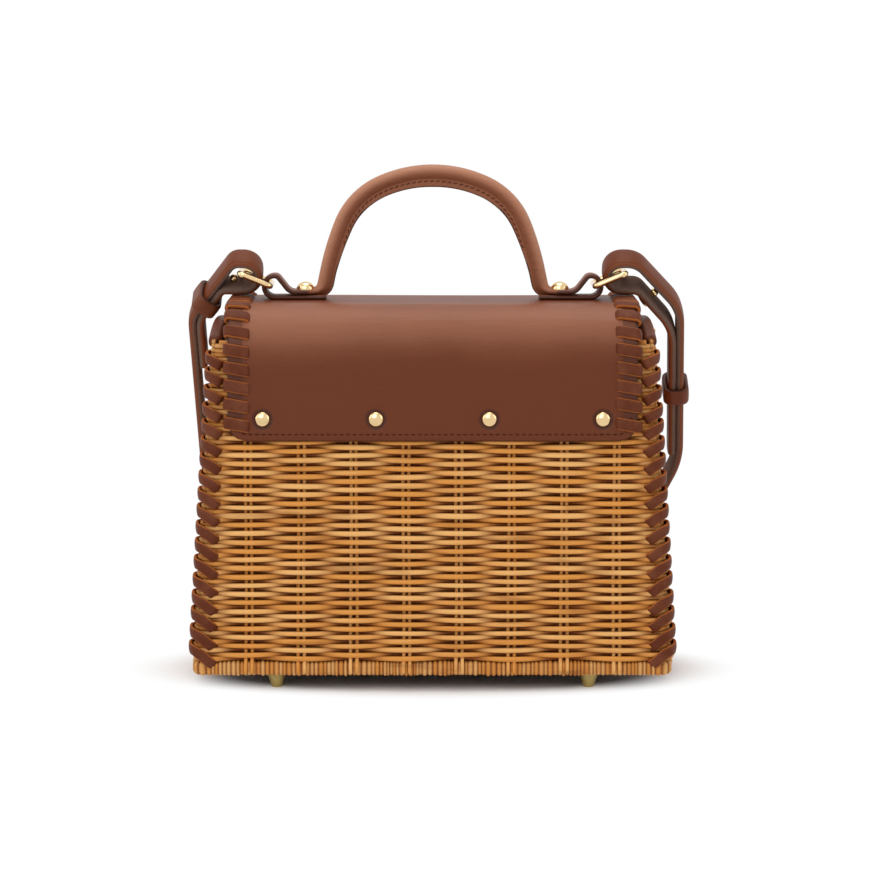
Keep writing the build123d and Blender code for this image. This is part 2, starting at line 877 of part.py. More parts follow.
def strap_stud(plane):
    """A strap stud: flat disc under the lower layer, post through it, ball head above."""
    with BuildPart() as stud:
        with BuildSketch(plane.offset(-strap_thick - moving_gap)):
            Circle(stud_disc_radius)
        extrude(amount=-stud_disc_thick)
        with BuildSketch(plane.offset(-strap_thick - moving_gap)):
            Circle(stud_post_radius)
        extrude(amount=strap_thick + moving_gap + stud_ball_radius)
        with Locations(plane.offset(moving_gap + stud_ball_radius)):
            Sphere(stud_ball_radius)
    return stud


save(strap_stud(left_stud_plane), "strap_stud_left")
save(strap_stud(right_stud_plane), "strap_stud_right")


def keeper(outer_start, outer_end, inner_start, inner_end, share):
    """A leather keeper round both layers of the strap, part of the way along a straight stretch."""
    outer_place = outer_start + (outer_end - outer_start) * share
    along = (outer_end - outer_start).normalized()
    inner_place = outer_place + (inner_start - outer_start) - along * (inner_start - outer_start).dot(along)
    place = (outer_place + inner_place) / 2
    heading = strap_plane.from_local_coords((along.X, along.Y, 0)) - strap_plane.origin
    plane = Plane(
        origin=strap_plane.from_local_coords((place.X, place.Y, 0)), x_dir=strap_plane.z_dir, z_dir=heading
    )
    inner_wide = strap_width + 2 * keeper_room
    inner_deep = strap_layer_space + strap_thick + 2 * keeper_room
    with BuildPart() as band:
        with BuildSketch(plane):
            RectangleRounded(inner_wide + 2 * keeper_thick, inner_deep + 2 * keeper_thick, keeper_rounding)
            Rectangle(inner_wide, inner_deep, mode=Mode.SUBTRACT)
        extrude(amount=keeper_length / 2, both=True)
    return band


save(
    keeper(Vector(*right_side), Vector(*right_low), right_tail_a, right_tail_b, right_keeper_share),
    "keeper_right",
)
save(
    keeper(Vector(*left_fall), Vector(*left_side), left_tail_a, left_tail_b, left_keeper_share),
    "keeper_left",
)
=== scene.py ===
import math

import bpy
import numpy as np
from bpy.props import FloatProperty, FloatVectorProperty, IntProperty, PointerProperty
from bpy.types import Operator, Panel, PropertyGroup
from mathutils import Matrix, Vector


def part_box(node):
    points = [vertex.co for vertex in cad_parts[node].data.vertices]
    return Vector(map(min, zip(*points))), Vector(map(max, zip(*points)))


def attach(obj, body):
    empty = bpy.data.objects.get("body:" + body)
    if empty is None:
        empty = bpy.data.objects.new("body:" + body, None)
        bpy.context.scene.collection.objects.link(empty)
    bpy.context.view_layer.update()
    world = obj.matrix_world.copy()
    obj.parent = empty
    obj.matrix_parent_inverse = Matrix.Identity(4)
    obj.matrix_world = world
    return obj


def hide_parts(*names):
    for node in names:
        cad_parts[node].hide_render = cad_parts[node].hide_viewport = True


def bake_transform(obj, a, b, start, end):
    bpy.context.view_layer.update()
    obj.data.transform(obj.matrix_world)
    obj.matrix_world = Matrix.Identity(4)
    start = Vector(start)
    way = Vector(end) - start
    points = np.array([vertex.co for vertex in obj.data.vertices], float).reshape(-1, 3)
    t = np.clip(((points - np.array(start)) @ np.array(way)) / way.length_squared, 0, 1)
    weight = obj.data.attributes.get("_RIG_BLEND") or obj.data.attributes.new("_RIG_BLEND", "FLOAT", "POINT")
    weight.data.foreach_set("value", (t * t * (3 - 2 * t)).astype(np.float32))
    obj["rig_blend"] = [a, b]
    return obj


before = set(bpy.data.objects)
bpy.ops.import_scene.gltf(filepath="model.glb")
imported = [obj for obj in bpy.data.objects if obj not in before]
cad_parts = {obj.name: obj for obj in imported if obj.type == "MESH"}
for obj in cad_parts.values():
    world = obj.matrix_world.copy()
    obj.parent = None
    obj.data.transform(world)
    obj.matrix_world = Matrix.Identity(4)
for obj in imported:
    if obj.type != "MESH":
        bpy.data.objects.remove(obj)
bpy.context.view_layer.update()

bl_info = {
    "name": "Rattan handbag",
    "version": (1, 0, 0),
    "blender": (4, 5, 0),
    "location": "3D View > Sidebar > Handbag",
    "description": "Dresses the packed handbag with woven rattan, laced leather and brass",
    "category": "Object",
}

MM = 0.001
RIM_LOW, RIM_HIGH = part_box("base_rim")
RIVET_HEAD = 3.4 * MM
TAB_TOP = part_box("handle_rivets")[1].z - RIVET_HEAD
UP = np.array([0.0, 0.0, 1.0])
RIGHT = np.array([1.0, 0.0, 0.0])
WALLS = ("rear_wall", "right_end_wall", "front_wall", "left_end_wall")


def length(name, description, millimetres):
    """A length property, given in millimetres and kept in metres."""
    return FloatProperty(
        name=name, description=description, default=millimetres * MM, unit="LENGTH", precision=5
    )


def angle(name, description, degrees):
    """An angle property, given in degrees and kept in radians."""
    return FloatProperty(
        name=name, description=description, default=math.radians(degrees), subtype="ANGLE", unit="ROTATION"
    )


def colour(name, description, red, green, blue):
    """A colour property, in linear light."""
    return FloatVectorProperty(
        name=name, description=description, default=(red, green, blue), subtype="COLOR", min=0, max=1
    )


def number(name, description, default, unit="NONE"):
    """A plain number property, with a unit where it has one."""
    return FloatProperty(name=name, description=description, default=default, unit=unit)


class BasketSizes(PropertyGroup):
    """Sizes of the woven basket, its rim and its corner lacing."""

    top_half_width: length("Top half width", "Half the basket's width at the top", 99.6)
    top_half_depth: length("Top half depth", "Half the basket's depth at the top", 36.0)
    wall_height: length("Wall height", "Height of the rear wall above the rim", 145.0)
    front_height: length("Front height", "Height of the front wall above the rim", 134.0)
    arch_rise: length("Arch rise", "Rise of the end walls' arched tops", 5.5)
    row_pitch: length("Row pitch", "From one row of weaving to the next", 1.95)
    weaver_height: length("Weaver height", "Upright size of a weaver", 2.3)
    weaver_depth: length("Weaver depth", "Size of a weaver through the wall", 1.9)
    weave_swing: length("Weave swing", "How far a weaver swings out and in round the stakes", 1.45)
    weave_depth: length("Weave depth", "Middle of the weave, below the walls' outer face", 0.9)
    stake_pitch: length("Stake pitch", "From one pair of stakes to the next on the wide walls", 23.7)
    end_stake_pitch: length("End stake pitch", "From one pair of stakes to the next on the end walls", 15.5)
    stake_radius: length("Stake radius", "Radius of one stake", 0.85)
    stake_spread: length("Stake spread", "From a stake to the middle of its pair", 1.3)
    corner_radius: length("Corner radius", "Radius at which the weavers turn the corners", 5.0)
    shoulder_radius: length("Shoulder radius", "Radius of the rear wall's upper corners", 8.0)
    rim_width: length("Rim width", "Width of the wrapped rim", 6.0)
    wrap_pitch: length("Wrap pitch", "From one turn of the rim's wrapping to the next", 1.9)
    wrap_height: length("Wrap height", "How far a turn of the wrapping stands out", 0.75)
    lace_width: length("Lace width", "Width of a corner lace", 4.9)
    lace_thick: length("Lace thickness", "Thickness of a corner lace", 1.5)
    lace_pitch: length("Lace pitch", "From one turn of a corner lace to the next", 7.7)
    lace_first: length("First lace", "Height of the lowest lace's middle above the rim", 5.2)
    lace_turns: IntProperty(name="Lace turns", description="Turns of lace on a corner", default=18)
    lace_reach_low: length("Lace reach at the base", "From the corner to a lace's hole, at the base", 10.0)
    lace_reach_high: length("Lace reach at the top", "From the corner to a lace's hole, at the top", 5.8)
    end_lace_reach: length("End lace reach", "From the corner to a lace's hole on the end walls", 9.0)
    lace_drop: length("Lace drop", "How far a lace drops to its hole on the wide walls", 7.0)
    end_lace_rise: length("End lace rise", "How far a lace climbs to its hole on the end walls", 2.0)


class LeatherSizes(PropertyGroup):
    """Sizes of the leather cover, its flap and their lacing."""

    thick: length("Thickness", "Thickness of the leather", 2.5)
    stand: length("Stand", "From the walls' outer face to the leather's inner side", 1.6)
    half_width: length("Half width", "Half the width of the cover and flap", 92.0)
    low_edge: length("Lower edge", "Height of the leather's lower edge above the floor", 113.0)
    top: length("Top", "Height of the leather's upper face above the floor", 173.5)
    corner_radius: length("Corner radius", "Radius of the lower corners", 9.0)
    bend_radius: length("Bend radius", "Outer radius of the bends over the basket", 20.0)
    hinge_offset: length("Hinge offset", "From the middle of the top to the flap's crease", 13.7)
    hinge_run: length("Hinge run", "Length of leather that bends at the crease", 8.0)
    lace_reach: length("Lace reach", "From the side edge to a lace's hole", 9.0)
    lace_width: length("Lace width", "Width of a side lace", 5.5)
    lace_thick: length("Lace thickness", "Thickness of a side lace", 1.6)
    lace_pitch: length("Lace pitch", "From one side lace to the next", 8.3)
    lace_start: length("First lace", "From the lower edge to the first side lace", 7.5)
    lace_end_margin: length("Last lace", "From the last side lace to the crease", 4.5)
    lace_tilt: angle("Lace tilt", "Slant of the side laces", 10.0)
    rivet_radius: length("Rivet radius", "Radius of a cover rivet's dome", 3.5)
    rivet_dome: length("Rivet dome", "Height of a cover rivet's dome", 2.3)
    rivet_spacing: length("Rivet spacing", "From one cover rivet to the next", 50.9)
    rivet_height: length("Rivet height", "From the lower edge up to the rivets", 10.0)
    snap_radius: length("Snap radius", "Radius of the magnetic snap", 8.0)
    snap_height: length("Snap height", "From the lower edge up to the snap", 12.0)
    stitch_length: length("Stitch length", "Length of one stitch", 2.3)
    stitch_pitch: length("Stitch pitch", "From one stitch to the next", 2.9)
    stitch_radius: length("Stitch radius", "Radius of the sewing thread", 0.3)


class CarrySizes(PropertyGroup):
    """Sizes of the handle, the strap and its keepers."""

    half_span: length("Half span", "Half the distance between the handle's legs", 47.5)
    handle_top: length("Handle top", "Height of the roll's middle at the crown", 231.6)
    roll_radius: length("Roll radius", "Radius of the rolled handle", 3.7)
    flange_thick: length("Flange thickness", "Thickness of the stitched flange", 2.4)
    seam_depth: length("Seam depth", "From the roll's middle to the row of stitches", 3.9)
    tab_width: length("Tab width", "Width of the handle's tabs", 13.0)
    tab_thick: length("Tab thickness", "Thickness of one layer of a tab", 2.2)
    ring_loop: length("Ring loop", "Radius of a tab's loop round its ring", 4.9)
    ring_loop_place: length("Ring loop place", "From the middle of the bag to a loop's middle", 72.5)
    rivet_place: length("Handle rivet place", "From the middle of the bag to a handle rivet", 58.5)
    rivet_radius: length("Handle rivet radius", "Radius of a handle rivet's dome", 4.2)
    rivet_dome: length("Handle rivet dome", "Height of a handle rivet's dome", 3.7)
    strap_width: length("Strap width", "Width of the shoulder strap", 13.0)
    strap_thick: length("Strap thickness", "Thickness of the shoulder strap", 3.2)
    strap_lean: angle("Strap lean", "How far the strap's plane leans back", 27.0)
    strap_origin: length("Strap plane height", "Height of the strap plane's origin", 186.0)
    strap_loop: length("Strap loop", "Radius of the strap's loops round the rings", 7.1)
    strap_loop_place: length("Strap loop place", "From the middle of the bag to a loop's middle", 87.0)
    strap_floor: length("Strap floor", "Lowest run of the strap, down its plane", -203.2)
    layer_space: length("Layer space", "From one layer of the strap to the other", 3.6)
    keeper_length: length("Keeper length", "Length of a keeper along the strap", 8.0)
    keeper_thick: length("Keeper thickness", "Thickness of a keeper", 2.0)
    keeper_room: length("Keeper room", "Room between a keeper and the strap", 0.5)


class FinishColours(PropertyGroup):
    """Colours of the finishes, in linear light."""

    rattan: colour("Rattan", "Weavers on the outside of the basket", 0.760, 0.318, 0.062)
    rattan_pale: colour("Pale rattan", "Palest strands", 0.900, 0.490, 0.165)
    # Painted shade: the dips of the weave, the strands' turned-away sides, the stakes and the rim's gaps darken
    # towards this colour. Random dark patches use it as well.
    rattan_dark_and_painted_shade: colour("Rattan shade", "Weavers where they dip behind the stakes", 0.220, 0.052, 0.004)
    leather: colour("Leather", "Cover, flap, handle and strap", 0.136, 0.027, 0.004)
    # Polish from use, and also a painted highlight where the bends of the hide and the handle catch the top
    # light.
    leather_polish_and_painted_highlight: colour("Polished and highlit leather", "Leather where hands and bends have polished it", 0.340, 0.126, 0.064)
    # Painted highlight: the palest colour, put on the handle's upper side where the top light falls.
    leather_painted_highlight: colour("Painted highlight leather", "Upper side of the handle", 0.480, 0.215, 0.125)
    # Painted edges, and also painted shade: the margins under the side laces, the rings round the rivets and
    # the end bindings darken towards this colour.
    leather_edge_and_painted_shade: colour("Leather edge", "Painted edges and pressed seats of the leather", 0.072, 0.018, 0.007)
    lacing: colour("Lacing", "Flat of the laces", 0.112, 0.023, 0.006)
    raw_edge: colour("Raw edge", "Cut edges of the laces", 0.380, 0.108, 0.022)
    suede: colour("Suede", "Flesh side of the strap", 0.270, 0.190, 0.150)
    # Partly painted shade: the thread is coloured as dark as the stitches look, sunk in their groove.
    thread: colour("Thread", "Sewing thread", 0.070, 0.018, 0.007)
    brass: colour("Brass", "Rings, rivets, studs and snaps", 0.800, 0.580, 0.310)
    foot_brass: colour("Foot brass", "Turned feet", 0.480, 0.360, 0.130)
    cloth: colour("Lining cloth", "Cotton lining", 0.340, 0.210, 0.110)
    board: colour("Board", "Underside of the base panel", 0.090, 0.045, 0.022)


class StageSettings(PropertyGroup):
    """The floor, the lights and the camera."""

    distance: length("Distance", "Camera to target", 1300.0)
    elevation: angle("Elevation", "Camera above the horizon", 8.0)
    target_height: length("Target height", "Height that the camera looks at", 110.0)
    lens: number("Lens", "Focal length, in millimetres", 114.5)
    shift_x: number("Shift across", "Camera shift across", 0.0089)
    shift_y: number("Shift up", "Camera shift up", -0.0057)
    floor_size: length("Floor size", "Side of the floor", 12000.0)
    floor_near: length("Near floor", "From the bag to where the floor starts to turn plain white", 45.0)
    floor_far: length("Far floor", "From the bag to where the floor is plain white", 66.0)
    key_power: number("Key power", "Large light over the camera", 13.0, "POWER")
    side_power: number("Side power", "Light from each side", 4.0, "POWER")
    top_power: number("Top power", "Light from above", 11.0, "POWER")
    sky: number("Sky", "Strength of the even light all round", 0.40)


def unit(vectors):
    """Vectors scaled to length one."""
    return vectors / np.linalg.norm(vectors, axis=-1, keepdims=True)


def smoothstep(value):
    """Nought below 0, one above 1, and 3t^2 - 2t^3 between."""
    value = np.clip(value, 0, 1)
    return value * value * (3 - 2 * value)


def travelled(line):
    """Distance along a line at each of its points."""
    return np.concatenate([[0], np.cumsum(np.linalg.norm(np.diff(line, axis=0), axis=1))])


def grid_quads(rows, columns, close_rows=False, close_columns=False, count=1):
    """Corners of the quads of several grids of points, each laid row after row."""
    row, column = np.meshgrid(
        np.arange(rows if close_rows else rows - 1),
        np.arange(columns if close_columns else columns - 1),
        indexing="ij",
    )
    next_row, next_column = (row + 1) % rows, (column + 1) % columns
    quads = np.stack(
        [
            row * columns + column,
            row * columns + next_column,
            next_row * columns + next_column,
            next_row * columns + column,
        ],
        axis=-1,
    ).reshape(-1, 4)
    return (quads + (np.arange(count) * rows * columns)[:, None, None]).reshape(-1, 4)


def tube_faces(rows, columns, count=1):
    """Faces of several closed tubes of rows rings: their sides, and a cap on each end."""
    starts = (np.arange(count) * rows * columns)[:, None]
    ring = np.arange(columns)
    return [
        grid_quads(rows, columns, close_columns=True, count=count),
        starts + ring[::-1],
        starts + (rows - 1) * columns + ring,
    ]


def signed_volume(points, faces):
    """Volume that the faces close in, below nought where they face inwards."""
    total = 0.0
    for group in faces:
        corner = points[group]
        fan = np.cross(corner[:, 1:-1], corner[:, 2:])
        total += float((corner[:, :1] * fan).sum())
    return total / 6


class Piece:
    """Points, faces and point attributes of a piece under way. Closed forms are turned to face outwards."""

    def __init__(self):
        self.points, self.faces, self.attributes, self.size = [], {}, {}, 0

    def add(self, points, faces, **attributes):
        points = np.asarray(points, float)
        flat = points.reshape(-1, 3)
        turned = signed_volume(flat, faces) < 0
        for group in faces:
            group = (group[:, ::-1] if turned else group) + self.size
            self.faces.setdefault(group.shape[1], []).append(group)
        for key, values in attributes.items():
            values = np.broadcast_to(values, points.shape[:-1]).reshape(-1)
            self.attributes.setdefault(key, []).append(values)
        self.points.append(flat)
        self.size += len(flat)
        return self

    def build(self, name, finish):
        """Puts the arrays into a new mesh object with that finish."""
        mesh = bpy.data.meshes.new(name)
        groups = [np.concatenate(groups) for groups in self.faces.values()]
        totals = np.concatenate([np.full(len(group), group.shape[1]) for group in groups])
        corners = np.concatenate([group.ravel() for group in groups])
        mesh.vertices.add(self.size)
        mesh.vertices.foreach_set("co", np.concatenate(self.points).ravel())
        mesh.loops.add(len(corners))
        mesh.loops.foreach_set("vertex_index", corners.astype(np.int32))
        mesh.polygons.add(len(totals))
        mesh.polygons.foreach_set("loop_start", np.concatenate([[0], np.cumsum(totals)[:-1]]).astype(np.int32))
        mesh.polygons.foreach_set("use_smooth", np.ones(len(totals), bool))
        for key, values in self.attributes.items():
            layer = mesh.attributes.new(key, "FLOAT", "POINT")
            layer.data.foreach_set("value", np.concatenate(values).astype(np.float32))
        mesh.update(calc_edges=True)
        mesh.validate()
        mesh.materials.append(finish)
        piece = bpy.data.objects.new(name, mesh)
        bpy.context.scene.collection.objects.link(piece)
        return piece


def circle_profile(count):
    """Points of a circle of radius one, anticlockwise."""
    turn = np.arange(count) * 2 * math.pi / count
    return np.stack([np.cos(turn), np.sin(turn)], axis=-1)


def rounded_profile(width, height, radius, arc_steps=4, flat_steps=4):
    """Points of a rounded rectangle, anticlockwise: four corner arcs with evenly spaced points between."""
    turn = np.linspace(0, math.pi / 2, arc_steps + 1)
    arc = np.stack([np.cos(turn), np.sin(turn)], axis=-1) * radius
    middle = np.array([width / 2 - radius, height / 2 - radius])
    quarters = []
    for quarter, signs in enumerate(((1, 1), (-1, 1), (-1, -1), (1, -1))):
        cosine, sine = math.cos(quarter * math.pi / 2), math.sin(quarter * math.pi / 2)
        turned = arc @ np.array([[cosine, sine], [-sine, cosine]])
        quarters.append(turned + middle * signs)
    runs = []
    for here, there in zip(quarters, quarters[1:] + quarters[:1]):
        share = np.linspace(0, 1, flat_steps + 1)[1:-1, None]
        runs += [here, here[-1] + (there[0] - here[-1]) * share]
    return np.concatenate(runs)


def swept(path, side, up, profile):
    """A profile carried along a path: each point is the path's, plus side times x, plus up times y."""
    return path[..., None, :] + side[..., None, :] * profile[..., :1] + up[..., None, :] * profile[..., 1:]


def resampled(line, spacing):
    """The same line with points at equal distances along it."""
    distance = travelled(line)
    even = np.linspace(0, distance[-1], max(int(distance[-1] / spacing), 2) + 1)
    return np.stack([np.interp(even, distance, axis) for axis in line.T], axis=-1)


def filleted(corners, radii, spacing):
    """Straight runs joined by tangent arcs, sampled at about equal distances."""
    corners = np.asarray(corners, float)
    parts = [corners[:1]]
    for before, corner, after, radius in zip(corners[:-2], corners[1:-1], corners[2:], radii):
        back, ahead = unit(before - corner), unit(after - corner)
        half = math.acos(np.clip(back @ ahead, -1, 1)) / 2
        centre = corner + unit(back + ahead) * radius / math.sin(half)
        start = corner + back * radius / math.tan(half) - centre
        end = corner + ahead * radius / math.tan(half) - centre
        turn = math.pi - 2 * half
        share = np.linspace(0, 1, max(int(turn * radius / spacing) * 2, 4) + 1)[:, None]
        arc = np.sin((1 - share) * turn) * start + np.sin(share * turn) * end
        parts.append(centre + arc / math.sin(turn))
    return resampled(np.concatenate(parts + [corners[-1:]]), spacing)


def tangents(path):
    """Unit direction of travel at each point of a path."""
    return unit(np.gradient(path, axis=-2))


def tangent_arc(start, heading, end, steps=24):
    """An arc that leaves start along heading and ends at end: its points and its last heading."""
    chord = np.subtract(end, start)
    bend = math.atan2(chord[1], chord[0]) - heading
    bend = (bend + math.pi) % (2 * math.pi) - math.pi
    radius = np.linalg.norm(chord) / (2 * math.sin(bend))
    turn = heading + 2 * bend * np.linspace(0, 1, steps + 1)
    centre = np.asarray(start) + radius * np.array([-math.sin(heading), math.cos(heading)])
    return centre + radius * np.stack([np.sin(turn), -np.cos(turn)], axis=-1), heading + 2 * bend


def half_sizes(basket, height):
    """Half the basket's width and depth at a height above the rim: straight lines from base to top."""
    share = np.asarray(height) / basket.wall_height
    return (
        RIM_HIGH.x + (basket.top_half_width - RIM_HIGH.x) * share,
        RIM_HIGH.y + (basket.top_half_depth - RIM_HIGH.y) * share,
    )


def wall_axes(wall):
    """Along and outward directions of a wall, counted round from the rear."""
    turn = wall * math.pi / 2
    along = np.array([math.cos(turn), math.sin(turn), 0.0])
    return along, np.array([math.sin(turn), -math.cos(turn), 0.0])


def wall_spot(run, half_along, half_out, corner):
    """A point on a wall by its run from the middle: straight up to the corner arc, then turning with it.
    Gives the distances along and out, and the same two parts of the outward direction."""
    straight = half_along - corner
    turn = np.clip((np.abs(run) - straight) / corner, 0, None)
    along = np.sign(run) * (np.minimum(np.abs(run), straight) + corner * np.sin(turn))
    out = half_out - corner * (1 - np.cos(turn))
    return along, out, np.sign(run) * np.sin(turn), np.cos(turn)


def rear_point(basket, x, height, out):
    """A point over the rear wall: across, up the wall, and out along its normal, with that normal."""
    slope = math.hypot(basket.wall_height, RIM_HIGH.y - basket.top_half_depth)
    normal = np.array([0.0, -basket.wall_height, RIM_HIGH.y - basket.top_half_depth]) / slope
    foot = np.array([x, -half_sizes(basket, height)[1], RIM_HIGH.z + height])
    return foot + normal * out, normal


class Wire:
    """A shader socket that adds Math nodes when it is summed, subtracted, multiplied or divided."""

    def __init__(self, nodes, socket):
        self.nodes, self.socket = nodes, socket

    def maths(self, operation, first, second):
        return self.nodes.node("ShaderNodeMath", {"operation": operation}, {0: first, 1: second})

    def __add__(self, other):
        return self.maths("ADD", self, other)

    __radd__ = __add__

    def __sub__(self, other):
        return self.maths("SUBTRACT", self, other)

    def __rsub__(self, other):
        return self.maths("SUBTRACT", other, self)

    def __mul__(self, other):
        return self.maths("MULTIPLY", self, other)

    __rmul__ = __mul__

    def __truediv__(self, other):
        return self.maths("DIVIDE", self, other)

    def __rtruediv__(self, other):
        return self.maths("DIVIDE", other, self)

    def clamped(self):
        return self.nodes.node("ShaderNodeClamp", {}, {"Value": self})


class Nodes:
    """A node tree whose nodes are added one call at a time."""

    def __init__(self, tree):
        self.tree = tree

    def node(self, kind, settings, inputs, output=0):
        """Adds a node: its settings first, then the values or links of its sockets; gives one output."""
        node = self.tree.nodes.new(kind)
        for key, value in settings.items():
            setattr(node, key, value)
        for key, value in inputs.items():
            self.feed(node.inputs[key], value)
        return Wire(self, node.outputs[output] if node.outputs else None)

    def feed(self, socket, value):
        """Links a socket to a wire, or sets its own value."""
        if isinstance(value, Wire):
            self.tree.links.new(value.socket, socket)
        elif socket.type == "RGBA" and len(value) == 3:
            socket.default_value = (*value, 1)
        else:
            socket.default_value = value

    def seen(self):
        """One for what the camera sees, straight, mirrored or through clear things; nought for other light."""
        kinds = ("Is Camera Ray", "Is Glossy Ray", "Is Transmission Ray")
        camera, gloss, clear = (self.node("ShaderNodeLightPath", {}, {}, kind) for kind in kinds)
        return (camera + gloss + clear).clamped()


class Finish(Nodes):
    """A material with the Principled shader, and the textures that feed it."""

    def __init__(self, name):
        self.material = bpy.data.materials.new(name)
        self.material.use_nodes = True
        super().__init__(self.material.node_tree)
        self.shader = self.tree.nodes["Principled BSDF"]

    def place(self, stretch=(1, 1, 1)):
        """Object coordinates in metres, stretched along the axes."""
        spot = self.node("ShaderNodeTexCoord", {}, {}, "Object")
        return self.node("ShaderNodeMapping", {}, {"Vector": spot, "Scale": stretch})

    def noise(self, scale, detail=3.0, stretch=(1, 1, 1)):
        """Noise of that many spots to the metre."""
        inputs = {"Vector": self.place(stretch), "Scale": scale, "Detail": detail, "Roughness": 0.6}
        return self.node("ShaderNodeTexNoise", {}, inputs, "Fac")

    def attribute(self, name):
        """A point attribute of the piece."""
        return self.node("ShaderNodeAttribute", {"attribute_name": name}, {}, "Fac")

    def blend(self, share, first, second):
        """First where share is nought, second where it is one."""
        return self.node(
            "ShaderNodeMix", {"data_type": "RGBA", "clamp_factor": True}, {0: share, 6: first, 7: second}, 2
        )

    def steps(self, value, low, high):
        """Nought below low, one above high, smooth between."""
        inputs = {"Value": value, "From Min": low, "From Max": high}
        return self.node("ShaderNodeMapRange", {"interpolation_type": "SMOOTHSTEP"}, inputs)

    def bump(self, height, distance, strength=1.0):
        """Turns a height into a normal."""
        return self.node("ShaderNodeBump", {}, {"Height": height, "Distance": distance, "Strength": strength})

    def set(self, **sockets):
        """Feeds the shader's own sockets, named with underscores for spaces."""
        for key, value in sockets.items():
            self.feed(self.shader.inputs[key.replace("_", " ")], value)
        return self.material


def rattan_finish(finish, shades):
    """Split cane: honey strands with long fibres, paler and darker ones, and painted shade where they dip
    behind the stakes, on their turned-away sides, on the stakes and in the rim's gaps.
    """
    fibre = finish.noise(60, 4, (1, 1, 26))
    patch = finish.noise(28, 2, (1, 1, 6))
    tone = finish.attribute("tone")
    crest = finish.attribute("crest")
    pale = finish.steps(tone + fibre * 0.5 - 0.25, 0.25, 0.95)
    strand = finish.blend(pale, shades.rattan, shades.rattan_pale)
    strand = finish.blend(finish.steps(patch, 0.52, 0.78) * 0.5, strand, shades.rattan_dark_and_painted_shade)
    # Painted shade: strands darken where they dip behind the stakes, on their sides turned away, on the stakes
    # and in the rim's gaps.
    strand_with_painted_shade = finish.blend(1 - finish.steps(crest, 0.06, 0.80), strand, shades.rattan_dark_and_painted_shade)
    return finish.set(
        Base_Color=strand_with_painted_shade,
        Roughness=0.34 + fibre * 0.26,
        Normal=finish.bump(fibre, 0.12 * MM, 0.5),
        Specular_IOR_Level=0.2,
        Coat_Weight=0.05,
        Coat_Roughness=0.25,
    )


def leather_grain(finish):
    """Fine pebbled grain, as a height."""
    grain = finish.node(
        "ShaderNodeTexVoronoi", {"feature": "SMOOTH_F1"}, {"Vector": finish.place(), "Scale": 1500}
    )
    return grain * 0.6 + finish.noise(420, 4) * 0.5


def leather_finish(finish, shades):
    """Waxed cowhide: soft mottling, fine grain, creases across the bends, darker painted edges; polish from use
    with a painted highlight on the bends and the handle's upper side, and painted shade beside the side laces,
    round the rivets and over the end bindings.
    """
    mottle = finish.noise(18, 4)
    cloud = finish.noise(6, 2)
    crease = finish.noise(90, 5, (0.4, 5.0, 5.0))
    # Edge holds the painted edges, and also painted shade beside the side laces, round the rivets and over the
    # end bindings.
    edge = finish.attribute("edge")
    wear = finish.attribute("wear")
    # Polish from use with a painted highlight: the bends and the handle's upper side go paler, and the handle's
    # top palest of all.
    polish_highlight_share = finish.steps(mottle * 0.3 + cloud * 0.2 + wear * 0.6, 0.30, 1.05)
    skin = finish.blend(polish_highlight_share, shades.leather, shades.leather_polish_and_painted_highlight)
    skin = finish.blend(finish.steps(wear + mottle * 0.2, 1.1, 1.9), skin, shades.leather_painted_highlight)
    skin = finish.blend(finish.steps(edge, 0.45, 0.8), skin, shades.leather_edge_and_painted_shade)
    height = leather_grain(finish) + finish.steps(crease, 0.40, 0.62) * (0.25 + wear)
    return finish.set(
        Base_Color=skin,
        Roughness=0.40 + mottle * 0.16,
        Normal=finish.bump(height, 0.10 * MM, 0.55),
        Specular_IOR_Level=0.28,
    )


def lacing_finish(finish, shades):
    """Flat lace leather: dull brown with its cut edges left raw and orange."""
    mottle = finish.noise(90, 4)
    edge = finish.attribute("edge")
    raw = finish.steps(edge + (mottle - 0.5) * 0.35, 0.5, 0.72)
    skin = finish.blend(finish.steps(mottle, 0.35, 0.85) * 0.35, shades.lacing, shades.leather_polish_and_painted_highlight)
    return finish.set(
        Base_Color=finish.blend(raw, skin, shades.raw_edge),
        Roughness=0.5 + raw * 0.25,
        Normal=finish.bump(leather_grain(finish), 0.10 * MM, 0.5),
        Specular_IOR_Level=0.16,
    )


def strap_finish(finish, shades):
    """Strap leather: grain side like the cover, dark painted edges, and a napped flesh side."""
    mottle = finish.noise(22, 4)
    nap = finish.noise(2400, 3)
    flesh = finish.attribute("flesh")
    edge = finish.attribute("edge")
    skin = finish.blend(finish.steps(mottle, 0.4, 0.8) * 0.3, shades.leather, shades.leather_polish_and_painted_highlight)
    skin = finish.blend(finish.steps(edge, 0.45, 0.8) * 0.30, skin, shades.leather_polish_and_painted_highlight)
    suede = finish.blend(nap, shades.leather_edge_and_painted_shade, shades.suede)
    side = finish.steps(flesh, 0.4, 0.6)
    return finish.set(
        Base_Color=finish.blend(side, skin, suede),
        Roughness=0.42 + mottle * 0.14 + side * 0.4,
        Normal=finish.bump(leather_grain(finish) + nap * side, 0.10 * MM, 0.5),
        Specular_IOR_Level=0.16,
    )


def thread_finish(finish, shades):
    """Waxed sewing thread with a fine twist."""
    twist = finish.noise(1500, 2)
    return finish.set(
        # Partly painted shade: the dark thread colour stands in for the shade of the stitch groove.
        Base_Color=finish.blend(twist, shades.thread, shades.leather_edge_and_painted_shade),
        Roughness=0.55 + twist * 0.2,
        Normal=finish.bump(twist, 0.08 * MM, 0.5),
        Specular_IOR_Level=0.1,
    )


def brass_finish(finish, shade, dark, roughness):
    """Plated brass with faint handling marks."""
    mark = finish.noise(160, 5)
    return finish.set(
        Base_Color=finish.blend(finish.steps(mark, 0.45, 0.8) * 0.5, shade, dark),
        Metallic=1.0,
        Roughness=roughness + finish.steps(mark, 0.4, 0.75) * 0.12,
    )


